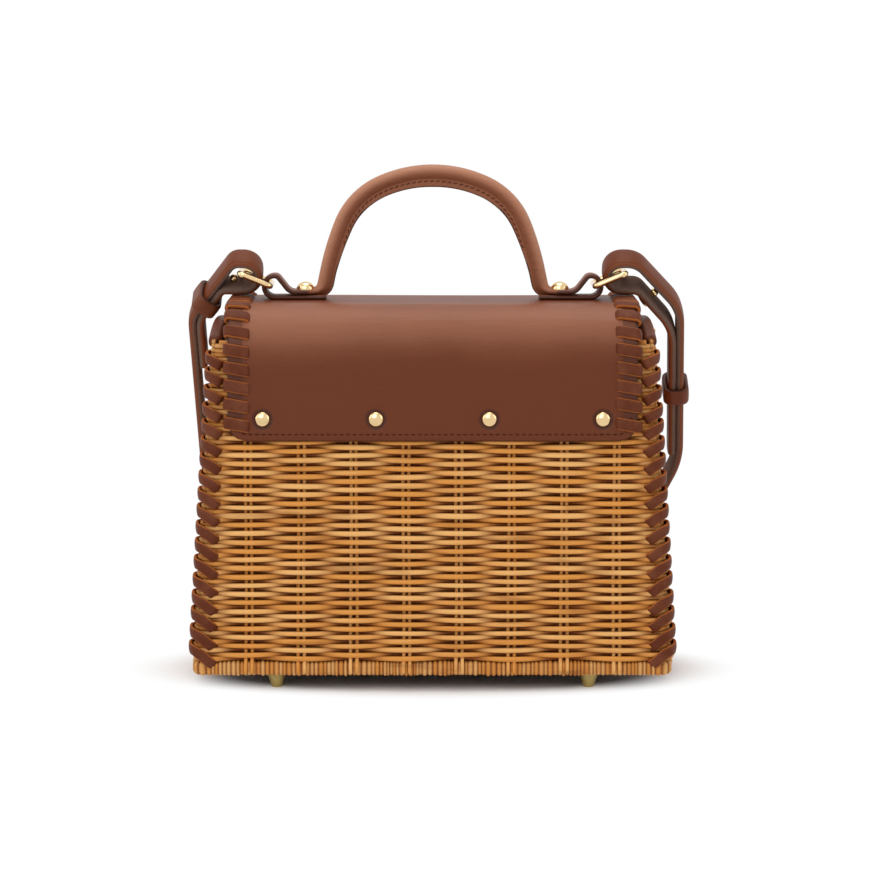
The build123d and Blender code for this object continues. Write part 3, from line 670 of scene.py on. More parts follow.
def cloth_finish(finish, shades):
    """Plain cotton weave: two crossed sets of fine ribs."""
    warp, weft = (
        finish.node(
            "ShaderNodeTexWave",
            {"bands_direction": direction},
            {"Vector": finish.place(stretch), "Scale": scale, "Distortion": 0.6},
        )
        for direction, stretch, scale in (("Z", (1, 1, 1), 700), ("DIAGONAL", (1, 1, 0), 500))
    )
    slub = finish.noise(140, 4)
    tint = finish.blend(slub, shades.cloth, shades.leather_polish_and_painted_highlight)
    return finish.set(
        Base_Color=finish.blend(slub * 0.4, tint, shades.cloth),
        Roughness=0.85 + slub * 0.1,
        Normal=finish.bump(warp + weft + slub, 0.12 * MM, 0.6),
    )


def board_finish(finish, shades):
    """Pressed board with a leathery skin."""
    mottle = finish.noise(60, 4)
    return finish.set(
        Base_Color=finish.blend(mottle, shades.board, shades.leather_edge_and_painted_shade),
        Roughness=0.65 + mottle * 0.15,
        Normal=finish.bump(finish.noise(900, 3), 0.1 * MM, 0.6),
    )


FINISHES = {
    "rattan": rattan_finish,
    "brown_leather": leather_finish,
    "lacing_leather": lacing_finish,
    "strap_leather": strap_finish,
    "thread": thread_finish,
    "pale_brass": lambda finish, shades: brass_finish(finish, shades.brass, shades.foot_brass, 0.14),
    "foot_brass": lambda finish, shades: brass_finish(finish, shades.foot_brass, shades.board, 0.3),
    "lining_cloth": cloth_finish,
    "board": board_finish,
}


def finished(name):
    """One of the bag's finishes, made when it is first asked for. Its name differs from the frame's own."""
    made = "handbag_" + name
    if made not in bpy.data.materials:
        FINISHES[name](Finish(made), bpy.context.scene.handbag_colours)
    return bpy.data.materials[made]


def settle(shape, name, finish, body, *nodes, slot=None):
    """Builds a piece with its finish, puts it on its body and hides the solids that it stands for."""
    piece = shape.build(name, finished(finish))
    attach(piece, body)
    if nodes:
        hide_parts(*nodes)


def edge_share(profile, start=0.84):
    """One on the two narrow edges of a flat profile, nought on its faces up to a share of its half width."""
    half = np.abs(profile[..., 0]).max()
    return smoothstep((np.abs(profile[..., 0]) / half - start) / 0.12)


def wall_halves(basket, height, wall):
    """Half the basket's size along a wall, and from the middle out to it, at a height above the rim."""
    wide, deep = half_sizes(basket, height)
    return (wide, deep) if wall % 2 == 0 else (deep, wide)


def wall_path(along, out, height, wall):
    """Points by their distances along a wall and out from the bag's middle, and their height above the rim."""
    sign, outward = wall_axes(wall)
    return along[..., None] * sign + out[..., None] * outward + (RIM_HIGH.z + height)[..., None] * UP


def weavers(basket, wall, heights, limits, pitch, segments, seed, pressed):
    """Rows of weaving on a wall. Each weaver runs from corner to corner and swings out and in as the cosine of
    its place along the wall, one row against the next; the swing dies away where it turns the corner, and the
    rows are pressed in round a spot at the height and radius pressed gives."""
    row_shift, row_rise, sway_size, sway_run = 0.5 * MM, 0.10 * MM, 0.14 * MM, 11 * MM
    corner_gap, corner_fade = 1.5 * MM, 9 * MM
    press_depth, press_slope = 1.1 * MM, 2.5 * MM
    swing_spread, size_spread, tone_run = 0.06, 0.05, 17 * MM
    chance = np.random.default_rng(seed)
    each = (len(heights), 1)
    half_along, half_out = wall_halves(basket, heights[:, None], wall)
    corner = basket.corner_radius
    reach = np.minimum(half_along - corner + corner * math.pi / 4, limits[:, None])
    run = np.linspace(-1, 1, segments + 1) * reach
    along, out, lean_along, lean_out = wall_spot(run, half_along, half_out, corner)
    place = (along + pitch / 2 + chance.normal(0, row_shift, each)) / pitch
    fade = smoothstep((half_along - np.abs(along) - corner_gap) / corner_fade)
    wave = np.cos(math.pi * (place + np.arange(len(heights))[:, None])) * fade
    lift = basket.weave_swing * (1 + chance.normal(0, swing_spread, each)) * wave - basket.weave_depth
    spot, radius = pressed
    near = smoothstep((radius - np.hypot(along, heights[:, None] - spot)) / press_slope)
    lift = lift - near * (lift + press_depth)
    sway = np.sin(along / sway_run + chance.uniform(0, 6.3, each)) * sway_size
    sway = sway + chance.normal(0, row_rise, each)
    sign, outward = wall_axes(wall)
    normal = lean_along[..., None] * sign + lean_out[..., None] * outward
    path = wall_path(along, out, heights[:, None] + sway, wall) + lift[..., None] * normal
    size = 1 + chance.normal(0, size_spread, each) + 0.05 * wave
    ring = circle_profile(8)
    profile = size[..., None, None] * ring * (basket.weaver_depth / 2, basket.weaver_height / 2)
    tone = chance.uniform(0, 1, each) + 0.25 * np.sin(along / tone_run + chance.uniform(0, 6.3, each))
    return {
        "points": swept(path, normal, np.broadcast_to(UP, path.shape), profile),
        "faces": tube_faces(segments + 1, len(ring), len(heights)),
        # Painted shade: low where a weaver dips behind the stakes and on the side of each strand turned away
        # from the front.
        "crest": (0.5 + 0.5 * wave)[..., None] * (0.52 + 0.48 * ring[:, 0]),
        "tone": tone[..., None],
    }


def stakes(basket, wall, count, pitch, low, high, seed):
    """Pairs of upright stakes behind the weavers, coming out over the rim at their feet."""
    foot_out, foot_height, foot_slope = 1.7 * MM, 2.5 * MM, 5 * MM
    bow, bow_run = 0.25 * MM, 19 * MM
    chance = np.random.default_rng(seed)
    centre = (np.arange(count) - (count - 1) / 2) * pitch
    along = (centre[:, None] + np.array([-1, 1]) * basket.stake_spread).reshape(-1, 1)
    height = np.linspace(low, high, 40)[None]
    out = wall_halves(basket, height, wall)[1] - basket.weave_depth
    out = out + foot_out * smoothstep((foot_height - height) / foot_slope)
    along = along + bow * np.sin(height / bow_run + chance.uniform(0, 6.3, along.shape))
    path = wall_path(along, out, height, wall)
    ring = circle_profile(6)
    side, front = (np.broadcast_to(axis, path.shape) for axis in wall_axes(wall))
    return {
        "points": swept(path, side, front, ring * basket.stake_radius),
        "faces": tube_faces(height.size, len(ring), len(along)),
        # Painted shade: the stakes are darkened behind the weavers, and left lighter at their feet over the
        # rim.
        "crest": np.where(height < 3 * MM, 0.8, 0.46)[..., None],
        "tone": chance.uniform(0, 1, len(along))[:, None, None],
    }


def mouth_border(basket, wall, half_run, height):
    """Three strands twisted into a border: each is a helix round the wall's top edge."""
    strands, strand_radius, twist_radius, lay, inset = 3, 1.2 * MM, 1.25 * MM, 2.4 * MM, 2.0 * MM
    run = np.linspace(-half_run, half_run, 120)
    turn = run / lay + np.arange(strands)[:, None] * 2 * math.pi / strands
    out = wall_halves(basket, height, wall)[1] - inset
    path = wall_path(run, out + twist_radius * np.cos(turn), height + twist_radius * np.sin(turn), wall)
    ring = circle_profile(8)
    front, rise = (np.broadcast_to(axis, path.shape) for axis in (wall_axes(wall)[1], UP))
    return {
        "points": swept(path, front, rise, ring * strand_radius),
        "faces": tube_faces(len(run), len(ring), strands),
        # Painted shade: each strand darkens where its twist turns it away from the front.
        "crest": (0.5 + 0.4 * np.cos(turn))[..., None],
        "tone": 0.5,
    }


def row_limits(basket, wall, top, heights):
    """How far the rows reach from a wall's middle: in under the rear wall's shoulders and the ends' arches."""
    no_limit, arch_share = 1.0, 0.88
    if wall == 0:
        shoulder = basket.shoulder_radius
        rise = np.clip(heights - (top - shoulder), 0, shoulder)
        cut = half_sizes(basket, heights)[0] - shoulder + np.sqrt(shoulder**2 - rise**2)
        return np.where(rise > 0, cut, no_limit)
    if wall == 2:
        return np.full(len(heights), no_limit)
    over = np.clip((heights - basket.wall_height) / basket.arch_rise, 0, 1)
    return np.where(over > 0, basket.top_half_depth * arch_share * np.sqrt(1 - over), no_limit)


class HANDBAG_OT_walls(Operator):
    """Weave the four walls of the basket over their stakes"""

    bl_idname = "handbag.walls"
    bl_label = "Woven walls"

    def execute(self, context):
        basket, leather = context.scene.handbag_basket, context.scene.handbag_leather
        first_row, last_row, stake_foot, stake_end = 1.4 * MM, 1.2 * MM, -5.2 * MM, 3 * MM
        border_drop, border_margin, press_margin = 2.6 * MM, 3 * MM, 3 * MM
        arch_top = basket.wall_height + basket.arch_rise
        tops = (basket.wall_height, arch_top, basket.front_height, arch_top)
        snap = leather.low_edge + leather.snap_height - RIM_HIGH.z
        for wall, (name, top) in enumerate(zip(WALLS, tops)):
            end = wall % 2 == 1
            heights = np.arange(first_row, top - last_row, basket.row_pitch)
            limits = row_limits(basket, wall, top, heights)
            pitch = basket.end_stake_pitch if end else basket.stake_pitch
            count, segments = (4, 62) if end else (8, 130)
            pressed = (snap, leather.snap_radius + press_margin if wall == 2 else 0.0)
            piece = Piece()
            piece.add(**weavers(basket, wall, heights, limits, pitch, segments, 11 + wall, pressed))
            piece.add(**stakes(basket, wall, count, pitch, stake_foot, top - stake_end, 31 + wall))
            if not end:
                margin = basket.shoulder_radius if wall == 0 else border_margin
                half_run = half_sizes(basket, top)[0] - margin
                piece.add(**mouth_border(basket, wall, half_run, top - border_drop))
            settle(piece, "woven_" + name, "rattan", "basket", name)
        return {"FINISHED"}


def rounded_ring(half_width, half_depth, corner, spacing):
    """A closed rounded rectangle seen from above, from the middle of its rear side, with outward directions."""
    outline = [
        (0, -half_depth), (half_width, -half_depth), (half_width, half_depth),
        (-half_width, half_depth), (-half_width, -half_depth), (0, -half_depth),
    ]
    path = filleted(outline, [corner] * 4, spacing)[:-1]
    ahead = unit(np.roll(path, -1, axis=0) - np.roll(path, 1, axis=0))
    return path, np.stack([ahead[:, 1], -ahead[:, 0]], axis=-1)


class HANDBAG_OT_rim(Operator):
    """Wrap the rim round the base: a rounded bar that swells as the sine of its place in each wrap"""

    bl_idname = "handbag.rim"
    bl_label = "Wrapped rim"

    def execute(self, context):
        basket = context.scene.handbag_basket
        samples, corner, rounding = 5, 3.2 * MM, 2.0 * MM
        width, height = basket.rim_width, RIM_HIGH.z - RIM_LOW.z
        path, outward = rounded_ring(
            RIM_HIGH.x - width / 2, RIM_HIGH.y - width / 2, corner, basket.wrap_pitch / samples
        )
        chance = np.random.default_rng(5)
        count = len(path)
        wraps = round(count / samples)
        ends = np.concatenate([[0], np.cumsum(chance.uniform(0.65, 1.35, wraps))])
        place = np.interp(np.arange(count) / count, ends / ends[-1], np.arange(wraps + 1))
        wrap = place.astype(int)
        swell = np.abs(np.sin(math.pi * place))[:, None] ** 0.7
        lift = chance.normal(0, 0.22, wraps + 1)[wrap][:, None]
        base = rounded_profile(width, height, rounding, 3, 3)
        grow = basket.wrap_height * (swell - 0.75 + lift * swell)
        profile = base + unit(base) * grow[..., None]
        middle = np.concatenate([path, np.full((count, 1), (RIM_LOW.z + RIM_HIGH.z) / 2)], axis=1)
        side = np.concatenate([outward, np.zeros((count, 1))], axis=1)
        points = swept(middle, side, np.broadcast_to(UP, middle.shape), profile)
        tone = chance.uniform(0, 1, wraps + 1)[wrap][:, None]
        faces = [grid_quads(count, len(base), close_rows=True, close_columns=True)]
        # Painted shade: darkest in the gaps between wraps, lighter towards each wrap's swell.
        piece = Piece().add(points, faces, crest=0.05 + 0.58 * swell, tone=tone)
        settle(piece, "wrapped_rim", "rattan", "basket", "base_rim")
        return {"FINISHED"}


def squared(value):
    """A cosine or a sine drawn out, so that the circle it belongs to turns into a rounded square."""
    return np.sign(value) * np.abs(value) ** 0.16


class HANDBAG_OT_lining(Operator):
    """Line the basket with cotton: two squared rings, carried down the walls and in over the floor"""

    bl_idname = "handbag.lining"
    bl_label = "Lining"

    def execute(self, context):
        basket = context.scene.handbag_basket
        thick, corner, room, floor, slack_size = 0.8 * MM, 9.0 * MM, 5.8 * MM, 0.3 * MM, 0.5 * MM
        columns, fall_rows, floor_rows = 160, 24, 8
        top = basket.front_height - 4.0 * MM
        turn = np.linspace(0, math.pi / 2, 7)[1:]
        fall = np.linspace(top, floor + corner, fall_rows)
        level = np.concatenate([fall, floor + corner * (1 - np.sin(turn)), np.full(floor_rows, floor)])
        in_floor = corner + np.linspace(2, 34, floor_rows) * MM
        inset = np.concatenate([np.zeros(fall_rows), corner * (1 - np.cos(turn)), in_floor])[:, None]
        around = np.arange(columns) / columns * 2 * math.pi
        skins = []
        for skin in (0, thick):
            height = (level + skin * (level < top))[:, None]
            wide, deep = half_sizes(basket, height)
            x = squared(np.cos(around)) * (wide - room - skin - inset)
            y = squared(np.sin(around)) * np.maximum(deep - room - skin - inset, 1 * MM)
            slack = slack_size * (1 + np.sin(9 * around + height / (14 * MM))) * height / top
            z = np.broadcast_to(RIM_HIGH.z + height, x.shape)
            skins.append(np.stack([x, y * (1 - slack / deep), z], axis=-1))
        points = np.concatenate([skins[0][::-1], skins[1]])
        piece = Piece().add(points, tube_faces(len(points), columns))
        settle(piece, "cotton_lining", "lining_cloth", "basket", "lining")
        return {"FINISHED"}


def lace_bands(path, normal, width, thick):
    """Flat bands along several paths at once: a crowned strip lying across each path's normal."""
    ahead = tangents(path)
    side = unit(np.cross(normal, ahead))
    up = unit(np.cross(ahead, side))
    profile = rounded_profile(width, thick, thick * 0.42, 2, 4)
    profile[:, 1] += thick * 0.22 * (1 - (profile[:, 0] / (width / 2)) ** 2)
    points = swept(path, side, up, profile)
    faces = tube_faces(path.shape[1], len(profile), len(path))
    return Piece().add(points, faces, edge=edge_share(profile, 0.74))


class HANDBAG_OT_corner_laces(Operator):
    """Lace the four corners with leather: bands that follow the corner arc and drop as a power of their run"""

    bl_idname = "handbag.corner_laces"
    bl_label = "Corner laces"

    def execute(self, context):
        basket = context.scene.handbag_basket
        corner, low_lift, bulge, sink_depth, jitter = 3.2 * MM, 0.75 * MM, 0.7 * MM, 3.0 * MM, 0.25 * MM
        arc = corner * math.pi / 2
        turns = np.arange(basket.lace_turns)
        share = (turns / (basket.lace_turns - 1))[:, None]
        middle = (basket.lace_first + turns * basket.lace_pitch)[:, None]
        reach = basket.lace_reach_low + (basket.lace_reach_high - basket.lace_reach_low) * share
        drop = -basket.lace_drop * (reach / basket.lace_reach_low) ** 1.6
        step = np.linspace(-1, 1, 27)[None]
        sink = smoothstep((np.abs(step) - 0.74) / 0.26)
        lift = low_lift + bulge * smoothstep(np.abs(step) / 0.6) - sink_depth * sink
        for wall, name in enumerate(("right_rear", "right_front", "left_front", "left_rear")):
            chance = np.random.default_rng(50 + wall)
            on_wide = step < 0 if wall % 2 == 0 else step >= 0
            fall = np.where(on_wide, drop, basket.end_lace_rise)
            height = middle + fall * np.abs(step) ** 1.2 + chance.normal(0, jitter, middle.shape)
            half_along, half_out = wall_halves(basket, height, wall)
            run = step * (np.where(on_wide, reach, basket.end_lace_reach) - corner + arc / 2)
            turn = np.clip(run / corner + math.pi / 4, 0, math.pi / 2)
            x = half_along - corner + corner * np.sin(turn) - np.clip(-run - arc / 2, 0, None)
            y = half_out - corner + corner * np.cos(turn) - np.clip(run - arc / 2, 0, None)
            sign, outward = wall_axes(wall)
            normal = np.sin(turn)[..., None] * sign + np.cos(turn)[..., None] * outward
            path = wall_path(x, y, height, wall) + lift[..., None] * normal
            piece = lace_bands(path, normal, basket.lace_width, basket.lace_thick)
            node = "corner_lace_" + name
            settle(piece, "laced_corner_" + name, "lacing_leather", "basket", node)
        return {"FINISHED"}


class HANDBAG_OT_bindings(Operator):
    """Bind the tops of the end walls with folded leather: a rounded bar along a parabola"""

    bl_idname = "handbag.bindings"
    bl_label = "End bindings"

    def execute(self, context):
        basket = context.scene.handbag_basket
        inset, drop, margin = 2.0 * MM, 1.2 * MM, 3.6 * MM
        profile = rounded_profile(6.4 * MM, 5.6 * MM, 2.4 * MM, 5, 3)
        half = basket.top_half_depth - margin
        run = np.linspace(-half, half, 60)
        height = basket.wall_height + basket.arch_rise * (1 - (run / half) ** 2) - drop
        for wall, name in ((1, "right_end_binding"), (3, "left_end_binding")):
            outward = wall_axes(wall)[1]
            path = wall_path(run, half_sizes(basket, height)[0] - inset, height, wall)
            up = unit(np.cross(outward, tangents(path)))
            points = swept(path, np.broadcast_to(outward, path.shape), up, profile)
            # Painted shade: the whole binding is pushed part way towards the dark edge colour, as it stands in
            # shadow.
            piece = Piece().add(points, tube_faces(len(path), len(profile)), edge=0.6, wear=0.0)
            settle(piece, "folded_" + name, "brown_leather", "basket", name)
        return {"FINISHED"}


def leather_line(context, out, spacing):
    """The leather's line seen from the side, from the cover's lower edge over the top to the flap's lower edge,
    at a distance out from the rear wall: straight runs joined by the two bends."""
    basket, leather = context.scene.handbag_basket, context.scene.handbag_leather
    level = leather.top - (leather.stand + leather.thick - out)
    low, normal = rear_point(basket, 0, leather.low_edge - RIM_HIGH.z, out)
    bend_height = level - RIM_HIGH.z - out * normal[2]
    bend = rear_point(basket, 0, bend_height, out)[0]
    corners = [(low[1], low[2]), (bend[1], level), (-bend[1], level), (-low[1], low[2])]
    radius = leather.bend_radius - (leather.stand + leather.thick - out)
    return filleted(corners, [radius, radius], spacing)


def side_frames(line):
    """Heading and outward normal, in space, along a line drawn from the side."""
    ahead = tangents(line)
    zero = np.zeros(len(line))
    heading = np.stack([zero, ahead[:, 0], ahead[:, 1]], axis=-1)
    return heading, np.stack([zero, -ahead[:, 1], ahead[:, 0]], axis=-1)


def rivet_places(leather):
    """Where the four cover rivets stand across the bag."""
    return (np.arange(4) - 1.5) * leather.rivet_spacing


def hide_section(leather, to_edge, rivets):
    """Sections of the hide, for each row's distance to the nearer lower edge: upper face, rounded side, lower
    face, rounded side. Columns stand closer beside the rivets. Gives x, y, the flat half width and the rounding
    of the lower edges."""
    corner, lip = leather.corner_radius, leather.thick / 2
    drop = np.clip(corner - to_edge, 0, corner)
    flat = (leather.half_width - corner + np.sqrt(corner**2 - drop**2) - lip)[:, None]
    rounding = np.sqrt(np.clip(1 - np.clip(1 - to_edge / lip, 0, 1) ** 2, 0.0004, 1))[:, None]
    across = np.linspace(-1, 1, 61)
    across = np.sign(across) * (1 - (1 - np.abs(across)) ** 1.25)
    beside = np.array([0.8, 1.9, 2.7, 3.4, 4.1, 4.9, 5.8]) * MM
    seats = rivets[:, None] + np.concatenate([-beside, beside])
    across = np.sort(np.concatenate([across, seats.ravel() / (leather.half_width - lip)]))
    turn = np.linspace(-math.pi / 2, math.pi / 2, 7)[1:-1]
    round_x, round_y = lip * np.cos(turn), np.sin(turn)
    x = np.concatenate([flat * across, flat + round_x, flat * across[::-1], -flat - round_x], axis=1)
    ones = np.ones(len(across))
    y = rounding * lip * np.concatenate([ones, round_y[::-1], -ones, round_y])
    return x, y, flat, rounding


def hide_relief(x, flat, distance, away):
    """How far the hide stands out or in: a slow swell of two sines, and a dent round each rivet."""
    swell, swell_fade = 0.16 * MM, 14 * MM
    hollow_depth, hollow_width = 0.25 * MM, 6.5 * MM
    seat_depth, seat_radius, seat_slope = 0.35 * MM, 5.4 * MM, 2.6 * MM
    puff = np.sin(x / (31 * MM) + 1.0) * np.sin(distance / (23 * MM))[:, None] * swell
    puff = puff * smoothstep((flat - np.abs(x)) / swell_fade)
    hollow = hollow_depth * np.exp(-((away / hollow_width) ** 2))
    return puff - hollow - seat_depth * smoothstep((seat_radius - away) / seat_slope)


def hide_edges_and_painted_shade(leather, x, flat, rounding, to_edge, away):
    """Where the hide is dark: its painted edges, and painted shade over the margins under the laces and round
    the rivets' seats.
    """
    lip, lace_fade, lace_end_fade = leather.thick / 2, 1.2 * MM, 1.5 * MM
    halo_radius, halo_fade, lace_share, halo_share = 6.2 * MM, 2.2 * MM, 0.66, 0.9
    painted = np.maximum(smoothstep((np.abs(x) - flat - 0.15 * lip) / (0.5 * lip)), 1 - rounding)
    # Painted shade over the margins under the side laces, where the laces shade the hide.
    laced = smoothstep((np.abs(x) - leather.half_width + leather.lace_reach) / lace_fade)
    laced = laced * smoothstep((to_edge - leather.lace_start) / lace_end_fade)[:, None]
    # Painted shade in a ring round each rivet's dome.
    rivet_halo_painted_shade = smoothstep((halo_radius - away) / halo_fade)
    return np.maximum(painted, np.maximum(lace_share * laced, halo_share * rivet_halo_painted_shade))


def bend_wear(normal, distance):
    """One on the bends and nought on the flats, smoothed along the hide: polish from use, and the painted
    highlight that the top light gives the bends.
    """
    sharp_bend = 45.0
    bent = np.abs(np.gradient(np.unwrap(np.arctan2(normal[:, 2], normal[:, 1])), distance))
    window = np.hanning(41)
    return np.convolve(smoothstep(bent / sharp_bend), window / window.sum(), "same")


class HANDBAG_OT_leather(Operator):
    """Lay the leather over the basket: cover, bends and flap in one hide that folds at its crease"""

    bl_idname = "handbag.leather"
    bl_label = "Cover and flap"

    def execute(self, context):
        leather = context.scene.handbag_leather
        line = leather_line(context, leather.stand + leather.thick / 2, 1.15 * MM)
        normal = side_frames(line)[1]
        distance = travelled(line)
        to_edge = np.minimum(distance, distance[-1] - distance)
        rivets = rivet_places(leather)
        x, y, flat, rounding = hide_section(leather, to_edge, rivets)
        aside = np.abs(x[..., None] - rivets).min(-1)
        away = np.hypot(aside, (distance - leather.rivet_height)[:, None])
        path = np.concatenate([np.zeros((len(line), 1)), line], axis=1)
        section = np.stack([x, y + hide_relief(x, flat, distance, away)], axis=-1)
        points = swept(path, np.broadcast_to(RIGHT, path.shape), normal, section)
        # Painted edges, with painted shade beside the side laces and round the rivets; then polish with a
        # painted highlight over the bends.
        edge = hide_edges_and_painted_shade(leather, x, flat, rounding, to_edge, away)
        wear = bend_wear(normal, distance)[:, None]
        piece = Piece().add(points, tube_faces(len(line), x.shape[1]), edge=edge, wear=wear)
        hide = piece.build("leather_cover_and_flap", finished("brown_leather"))
        crease = leather.hinge_offset
        reach = leather.hinge_run / 2
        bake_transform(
            hide, "basket", "flap", start=(0, crease - reach, leather.top), end=(0, crease + reach, leather.top)
        )
        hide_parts("cover_panel", "flap_panel")
        return {"FINISHED"}


def side_lace_line(leather):
    """A side lace's line across the leather: out of its hole, over the face, round the edge and under."""
    inner, outer = leather.half_width - leather.lace_reach, leather.half_width
    high = leather.lace_thick * 0.42
    x = inner + np.array([-0.1, 0.0, 0.6, 2.2]) * MM
    level = np.array([-1.6 * MM, -0.4 * MM, high * 0.7, high])
    turn = np.linspace(math.pi / 2, -math.pi / 2, 9)
    half = leather.thick / 2
    x = np.concatenate([x, [outer - 2.0 * MM], outer - 0.6 * MM + 1.5 * MM * np.cos(turn)])
    level = np.concatenate([level, [high], (half + high) * np.sin(turn) - half])
    return resampled(np.stack([x, level], axis=-1), 0.55 * MM)


class HANDBAG_OT_side_laces(Operator):
    """Lace the side edges of the cover and the flap"""

    bl_idname = "handbag.side_laces"
    bl_label = "Side laces"

    def execute(self, context):
        leather = context.scene.handbag_leather
        line = leather_line(context, leather.stand + leather.thick, 0.25 * MM)
        heading, normal = side_frames(line)
        distance = travelled(line)
        crease = distance[np.argmin(np.abs(line[:, 0] - leather.hinge_offset))]
        lace = side_lace_line(leather)
        ahead = unit(np.gradient(lace, axis=0))
        x, level = lace.T
        slide = math.tan(leather.lace_tilt) * (x - leather.half_width + leather.lace_reach / 2)
        runs = (("cover", "basket", crease, 1), ("flap", "flap", distance[-1] - crease, -1))
        for part, body, run, way in runs:
            count = int((run - leather.lace_start - leather.lace_end_margin) / leather.lace_pitch) + 1
            spots = leather.lace_start + np.arange(count) * leather.lace_pitch
            at = np.searchsorted(distance, spots if part == "cover" else distance[-1] - spots)
            start = np.concatenate([np.zeros((count, 1)), line[at]], axis=1)[:, None]
            for side, name in ((-1, "left"), (1, "right")):
                chance = np.random.default_rng(70 + side + len(part))
                shift = chance.normal(0, 0.2 * MM, (count, 1)) - side * way * slide
                out = normal[at][:, None]
                path = start + side * x[:, None] * RIGHT + level[:, None] * out
                path = path + shift[..., None] * heading[at][:, None]
                up = -ahead[:, 1:] * side * RIGHT + ahead[:, :1] * out
                piece = lace_bands(path, up, leather.lace_width, leather.lace_thick)
                node = f"{part}_lace_{name}"
                settle(piece, "laced_" + node, "lacing_leather", body, node)
        return {"FINISHED"}


def turned(spot, axis, profile, count=28):
    """A turned piece: a profile of radius and height carried round an axis, from its rim to its tip."""
    axis = unit(np.asarray(axis, float))
    side = unit(np.cross(axis, RIGHT if abs(axis[0]) < 0.9 else UP))
    across = np.cross(axis, side)
    ring = circle_profile(count)
    around = ring[:, :1] * side + ring[:, 1:] * across
    radius, height = np.asarray(profile, float).T
    points = np.asarray(spot) + radius[:, None, None] * around + height[:, None, None] * axis
    return points, tube_faces(len(radius), count)


def dome_profile(radius, height, foot=0.25 * MM):
    """A rivet's head: a short upright rim, then an arc of an ellipse to the tip."""
    turn = np.linspace(0, math.pi / 2, 10)
    arc = np.stack([radius * np.cos(turn), foot + (height - foot) * np.sin(turn)], axis=-1)
    arc[-1, 0] = radius * 0.01
    return np.concatenate([[(radius * 0.6, -1.2 * MM), (radius * 0.98, -0.3 * MM), (radius, 0.0)], arc])


class HANDBAG_OT_rivets(Operator):
    """Set the brass rivets and the magnetic snap"""

    bl_idname = "handbag.rivets"
    bl_label = "Rivets and snap"

    def execute(self, context):
        basket, leather = context.scene.handbag_basket, context.scene.handbag_leather
        carry = context.scene.handbag_carry
        cover_sink, handle_sink, wall_inside = 0.25 * MM, 0.2 * MM, -3.2 * MM
        cover_burr, handle_burr, burr_height = 3.2 * MM, 4.0 * MM, 1.0 * MM
        piece = Piece()
        height = leather.low_edge + leather.rivet_height - RIM_HIGH.z
        for x in rivet_places(leather):
            spot, normal = rear_point(basket, x, height, leather.stand + leather.thick - cover_sink)
            piece.add(*turned(spot, normal, dome_profile(leather.rivet_radius, leather.rivet_dome)))
            spot, normal = rear_point(basket, x, height, wall_inside)
            piece.add(*turned(spot, -normal, dome_profile(cover_burr, burr_height)))
        settle(piece, "domed_cover_rivets", "pale_brass", "basket", "cover_rivets")
        piece = Piece()
        for side in (-1, 1):
            spot = (side * carry.rivet_place, 0, TAB_TOP - handle_sink)
            piece.add(*turned(spot, UP, dome_profile(carry.rivet_radius, carry.rivet_dome)))
            under = (side * carry.rivet_place, 0, leather.top - leather.thick)
            piece.add(*turned(under, -UP, dome_profile(handle_burr, burr_height)))
        settle(piece, "domed_handle_rivets", "pale_brass", "basket", "handle_rivets")
        height = leather.low_edge + leather.snap_height - RIM_HIGH.z
        radius = leather.snap_radius
        tall = 0.6 * MM
        profile = [
            (radius * 0.6, -1.0 * MM), (radius, -0.4 * MM), (radius, tall * 0.6), (radius * 0.95, tall),
            (radius * 0.8, tall), (radius * 0.76, tall * 0.6), (radius * 0.4, tall * 0.6),
            (radius * 0.36, tall * 0.9), (radius * 0.01, tall * 0.9),
        ]
        snaps = (("wall_snap", "basket", 0.0, 1), ("flap_snap", "flap", leather.stand, -1))
        for name, body, out, turn in snaps:
            spot, normal = (vector * (1, -1, 1) for vector in rear_point(basket, 0, height, out))
            piece = Piece().add(*turned(spot, normal * turn, profile, 40))
            settle(piece, "magnet_" + name, "pale_brass", body, name)
        return {"FINISHED"}


def handle_half(carry, leather):
    """One half of the handle's line, from the crown down the arch, out along the tab, round the ring and back
    under the tab; with how far the flange reaches in from the roll at each point."""
    rise = carry.handle_top - TAB_TOP

    def arch(across, up):
        return np.array([-across * carry.half_span, TAB_TOP + up * rise])

    top, heading = tangent_arc(arch(0, 1), math.pi, arch(0.509, 0.901))
    side, heading = tangent_arc(top[-1], heading, arch(0.874, 0.561))
    leg, heading = tangent_arc(side[-1], heading, arch(1.014, 0.151))
    low = leather.top + carry.tab_thick / 2
    high = TAB_TOP - carry.tab_thick / 2
    far = carry.ring_loop_place + carry.ring_loop
    over = low + 2 * carry.ring_loop
    foot, tab_end, loop_start, tail_end = carry.half_span + 2.6 * MM, 65.6 * MM, 71.4 * MM, 49.0 * MM
    corners = [
        leg[-1], (-foot, high), (-tab_end, high), (-loop_start, over),
        (-far, over), (-far, low), (-tail_end, low),
    ]
    loop = carry.ring_loop * 0.98
    tail = filleted(corners, [5.0 * MM, 5.0 * MM, 2.0 * MM, loop, loop], 0.5 * MM)
    line = resampled(np.concatenate([top, side[1:], leg[1:], tail[1:]]), 0.8 * MM)
    distance = travelled(line)
    ankle = distance[np.argmin(np.linalg.norm(line - leg[-1], axis=1))]
    reach = np.interp(distance / ankle, [0, 0.45, 0.75, 1.0], [6.6 * MM, 6.1 * MM, 5.0 * MM, 3.9 * MM])
    return line, distance, ankle, reach


